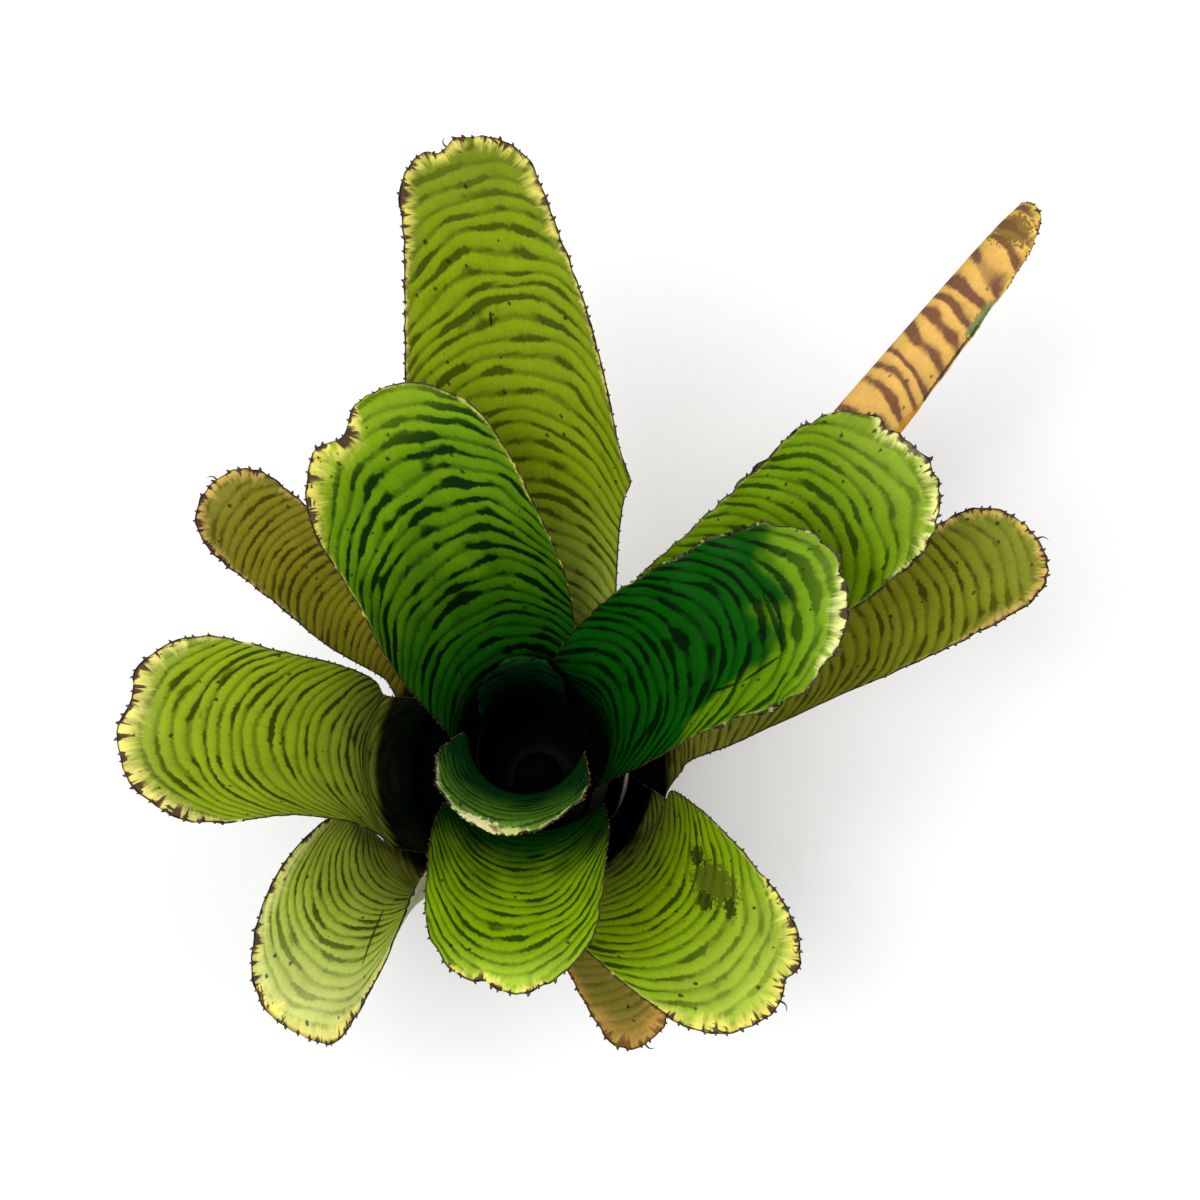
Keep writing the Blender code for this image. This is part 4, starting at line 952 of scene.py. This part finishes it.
def stemMesh():
    detail = stemDetail
    draw = np.random.default_rng(7)
    top, dome = rosette["stemTop"], detail["domeHeight"]
    inner = np.linspace(0, rosette["stemFootRadius"] - detail["chamfer"], 14)
    profile = [(radius, 0.0) for radius in inner]
    profile += [(stemRadius(detail["chamfer"]) - 0.0003, detail["chamfer"] * 0.7)]
    heights = np.linspace(detail["chamfer"], top - dome, detail["rings"])
    profile += [(stemRadius(h), h) for h in heights]
    for angle in np.radians(np.linspace(8, 82, 9)):
        profile.append((stemRadius(top - dome) * math.cos(angle), top - dome + dome * math.sin(angle)))
    profile.append((0.0, top))
    angles = np.linspace(0, math.tau, detail["sides"], endpoint=False)
    lumps = [(draw.integers(2, 12), draw.uniform(0, math.tau), draw.uniform(120, 900)) for _ in range(14)]
    mesh = bmesh.new()
    rings = []
    for radius, height in profile:
        if radius == 0.0:
            rings.append([mesh.verts.new((0, 0, height))])
            continue
        onSide = 0.0 < height < top - dome * 0.5
        bark = sum(np.cos(k * angles + p + height * w) for k, p, w in lumps) / len(lumps)
        scar = abs(math.sin(math.pi * height / detail["scarStep"])) ** 0.5
        dent = detail["barkDepth"] * (bark - 0.6) - detail["scarDepth"] * (1 - scar) if onSide else 0 * bark
        reach = radius + np.minimum(dent, 0.0002)
        rings.append([mesh.verts.new((r * math.cos(a), r * math.sin(a), height)) for a, r in zip(angles, reach)])
    for low, high in zip(rings, rings[1:]):
        count = max(len(low), len(high))
        for i in range(count):
            j = (i + 1) % count
            ring = [low[i % len(low)], low[j % len(low)], high[j % len(high)], high[i % len(high)]]
            mesh.faces.new(dict.fromkeys(ring))
    bmesh.ops.recalc_face_normals(mesh, faces=mesh.faces[:])
    made = bpy.data.meshes.new("stemCut")
    mesh.to_mesh(made)
    mesh.free()
    made.shade_smooth()
    made.set_sharp_from_angle(angle=math.radians(50))
    return made


def stemMaterial():
    detail = stemDetail
    material, tree, shader = newMaterial("stemBark", 0.06)
    coords = put(tree, "ShaderNodeTexCoord").outputs["Object"]
    x, y, z = put(tree, "ShaderNodeSeparateXYZ", {0: coords}).outputs
    mottle = grain(tree, coords, scale=170.0, detail=4.0, roughness=0.6)
    fibre = grain(tree, (calc(tree, "MULTIPLY", x, 9.0), calc(tree, "MULTIPLY", y, 9.0), z), scale=120.0, detail=3.0)
    ring = calc(tree, "ABSOLUTE", calc(tree, "SINE", calc(tree, "MULTIPLY", z, math.pi / detail["scarStep"])))
    colour = blendColour(tree, fade(tree, mottle, 0.35, 0.65), tint(*detail["barkDark"]), tint(*detail["bark"]))
    colour = blendColour(tree, calc(tree, "MULTIPLY", fade(tree, ring, 0.0, 0.35, 1.0, 0.0), 0.55), colour,
                         tint(*detail["scarPale"]))
    face = fade(tree, z, 0.0002, 0.0010, 1.0, 0.0)
    pith = grain(tree, coords, scale=420.0, detail=3.0)
    fresh = blendColour(tree, fade(tree, pith, 0.42, 0.6), tint(*detail["cut"]), tint(*detail["bark"]))
    colour = blendColour(tree, face, colour, fresh)
    # near black towards the stem top inside the cup: painted shade
    colour = blendColour(tree, fade(tree, z, detail["darkFrom"], detail["darkTo"]), colour, tint(*detail["wet"]))
    tree.links.new(colour, shader.inputs["Base Color"])
    tree.links.new(calc(tree, "MULTIPLY_ADD", mottle, 0.2, 0.72), shader.inputs["Roughness"])
    height = calc(tree, "ADD", mottle, calc(tree, "MULTIPLY", fibre, 0.8))
    bump = put(tree, "ShaderNodeBump", {"Strength": 0.7, "Distance": 0.0006, "Height": height})
    tree.links.new(bump.outputs[0], shader.inputs["Normal"])
    return material


stemPiece = bpy.data.objects.new("stemCut", stemMesh())
bpy.context.scene.collection.objects.link(stemPiece)
stemPiece.data.materials.append(stemMaterial())
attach(stemPiece, "root")
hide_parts("stem")
print("stem made")


# Floor, light and camera

studio = {
    "floorSize": 4.0, "floorColour": (0.90, 0.90, 0.90), "ambient": 0.60,
    "keyPlace": (-0.75, -0.55, 1.9), "keySize": 1.5, "keyPower": 28.0,
    "fillPlace": (1.1, 0.5, 1.6), "fillSize": 1.6, "fillPower": 12.0,
    "aim": (0.030, 0.047, 0.150),
    "target": (0.030, 0.047, 0.200), "distance": 0.820, "elevation": 72.0, "lens": 57.21,
}


def addLight(name, place, size, power):
    light = bpy.data.lights.new(name, "AREA")
    light.shape, light.size, light.energy = "DISK", size, power
    thing = bpy.data.objects.new(name, light)
    thing.location = place
    thing.rotation_euler = (Vector(studio["aim"]) - Vector(place)).to_track_quat("-Z", "Y").to_euler()
    bpy.context.scene.collection.objects.link(thing)


half = studio["floorSize"]
floorMesh = bpy.data.meshes.new("floor")
floorMesh.from_pydata([(-half, -half, 0), (half, -half, 0), (half, half, 0), (-half, half, 0)], [], [(0, 1, 2, 3)])
floor = bpy.data.objects.new("floor", floorMesh)
bpy.context.scene.collection.objects.link(floor)
paper, _, paperShader = newMaterial("floorPaper", 0.1)
paperShader.inputs["Base Color"].default_value = (*studio["floorColour"], 1)
paperShader.inputs["Roughness"].default_value = 0.9
floorMesh.materials.append(paper)

world.use_nodes = True
world.node_tree.nodes["Background"].inputs["Color"].default_value = (1.0, 1.0, 1.0, 1.0)
world.node_tree.nodes["Background"].inputs["Strength"].default_value = studio["ambient"]
addLight("keyLight", studio["keyPlace"], studio["keySize"], studio["keyPower"])
addLight("fillLight", studio["fillPlace"], studio["fillSize"], studio["fillPower"])

tilt = math.radians(studio["elevation"])
back = Vector((0, -math.cos(tilt), math.sin(tilt)))
lens = bpy.data.cameras.new("camera")
lens.lens, lens.sensor_width, lens.clip_start = studio["lens"], 36.0, 0.01
camera = bpy.data.objects.new("camera", lens)
camera.location = Vector(studio["target"]) + back * studio["distance"]
camera.rotation_euler = (math.pi / 2 - tilt, 0, 0)
bpy.context.scene.collection.objects.link(camera)
bpy.context.scene.camera = camera
bpy.context.scene.view_settings.view_transform = "Standard"
print("studio set")
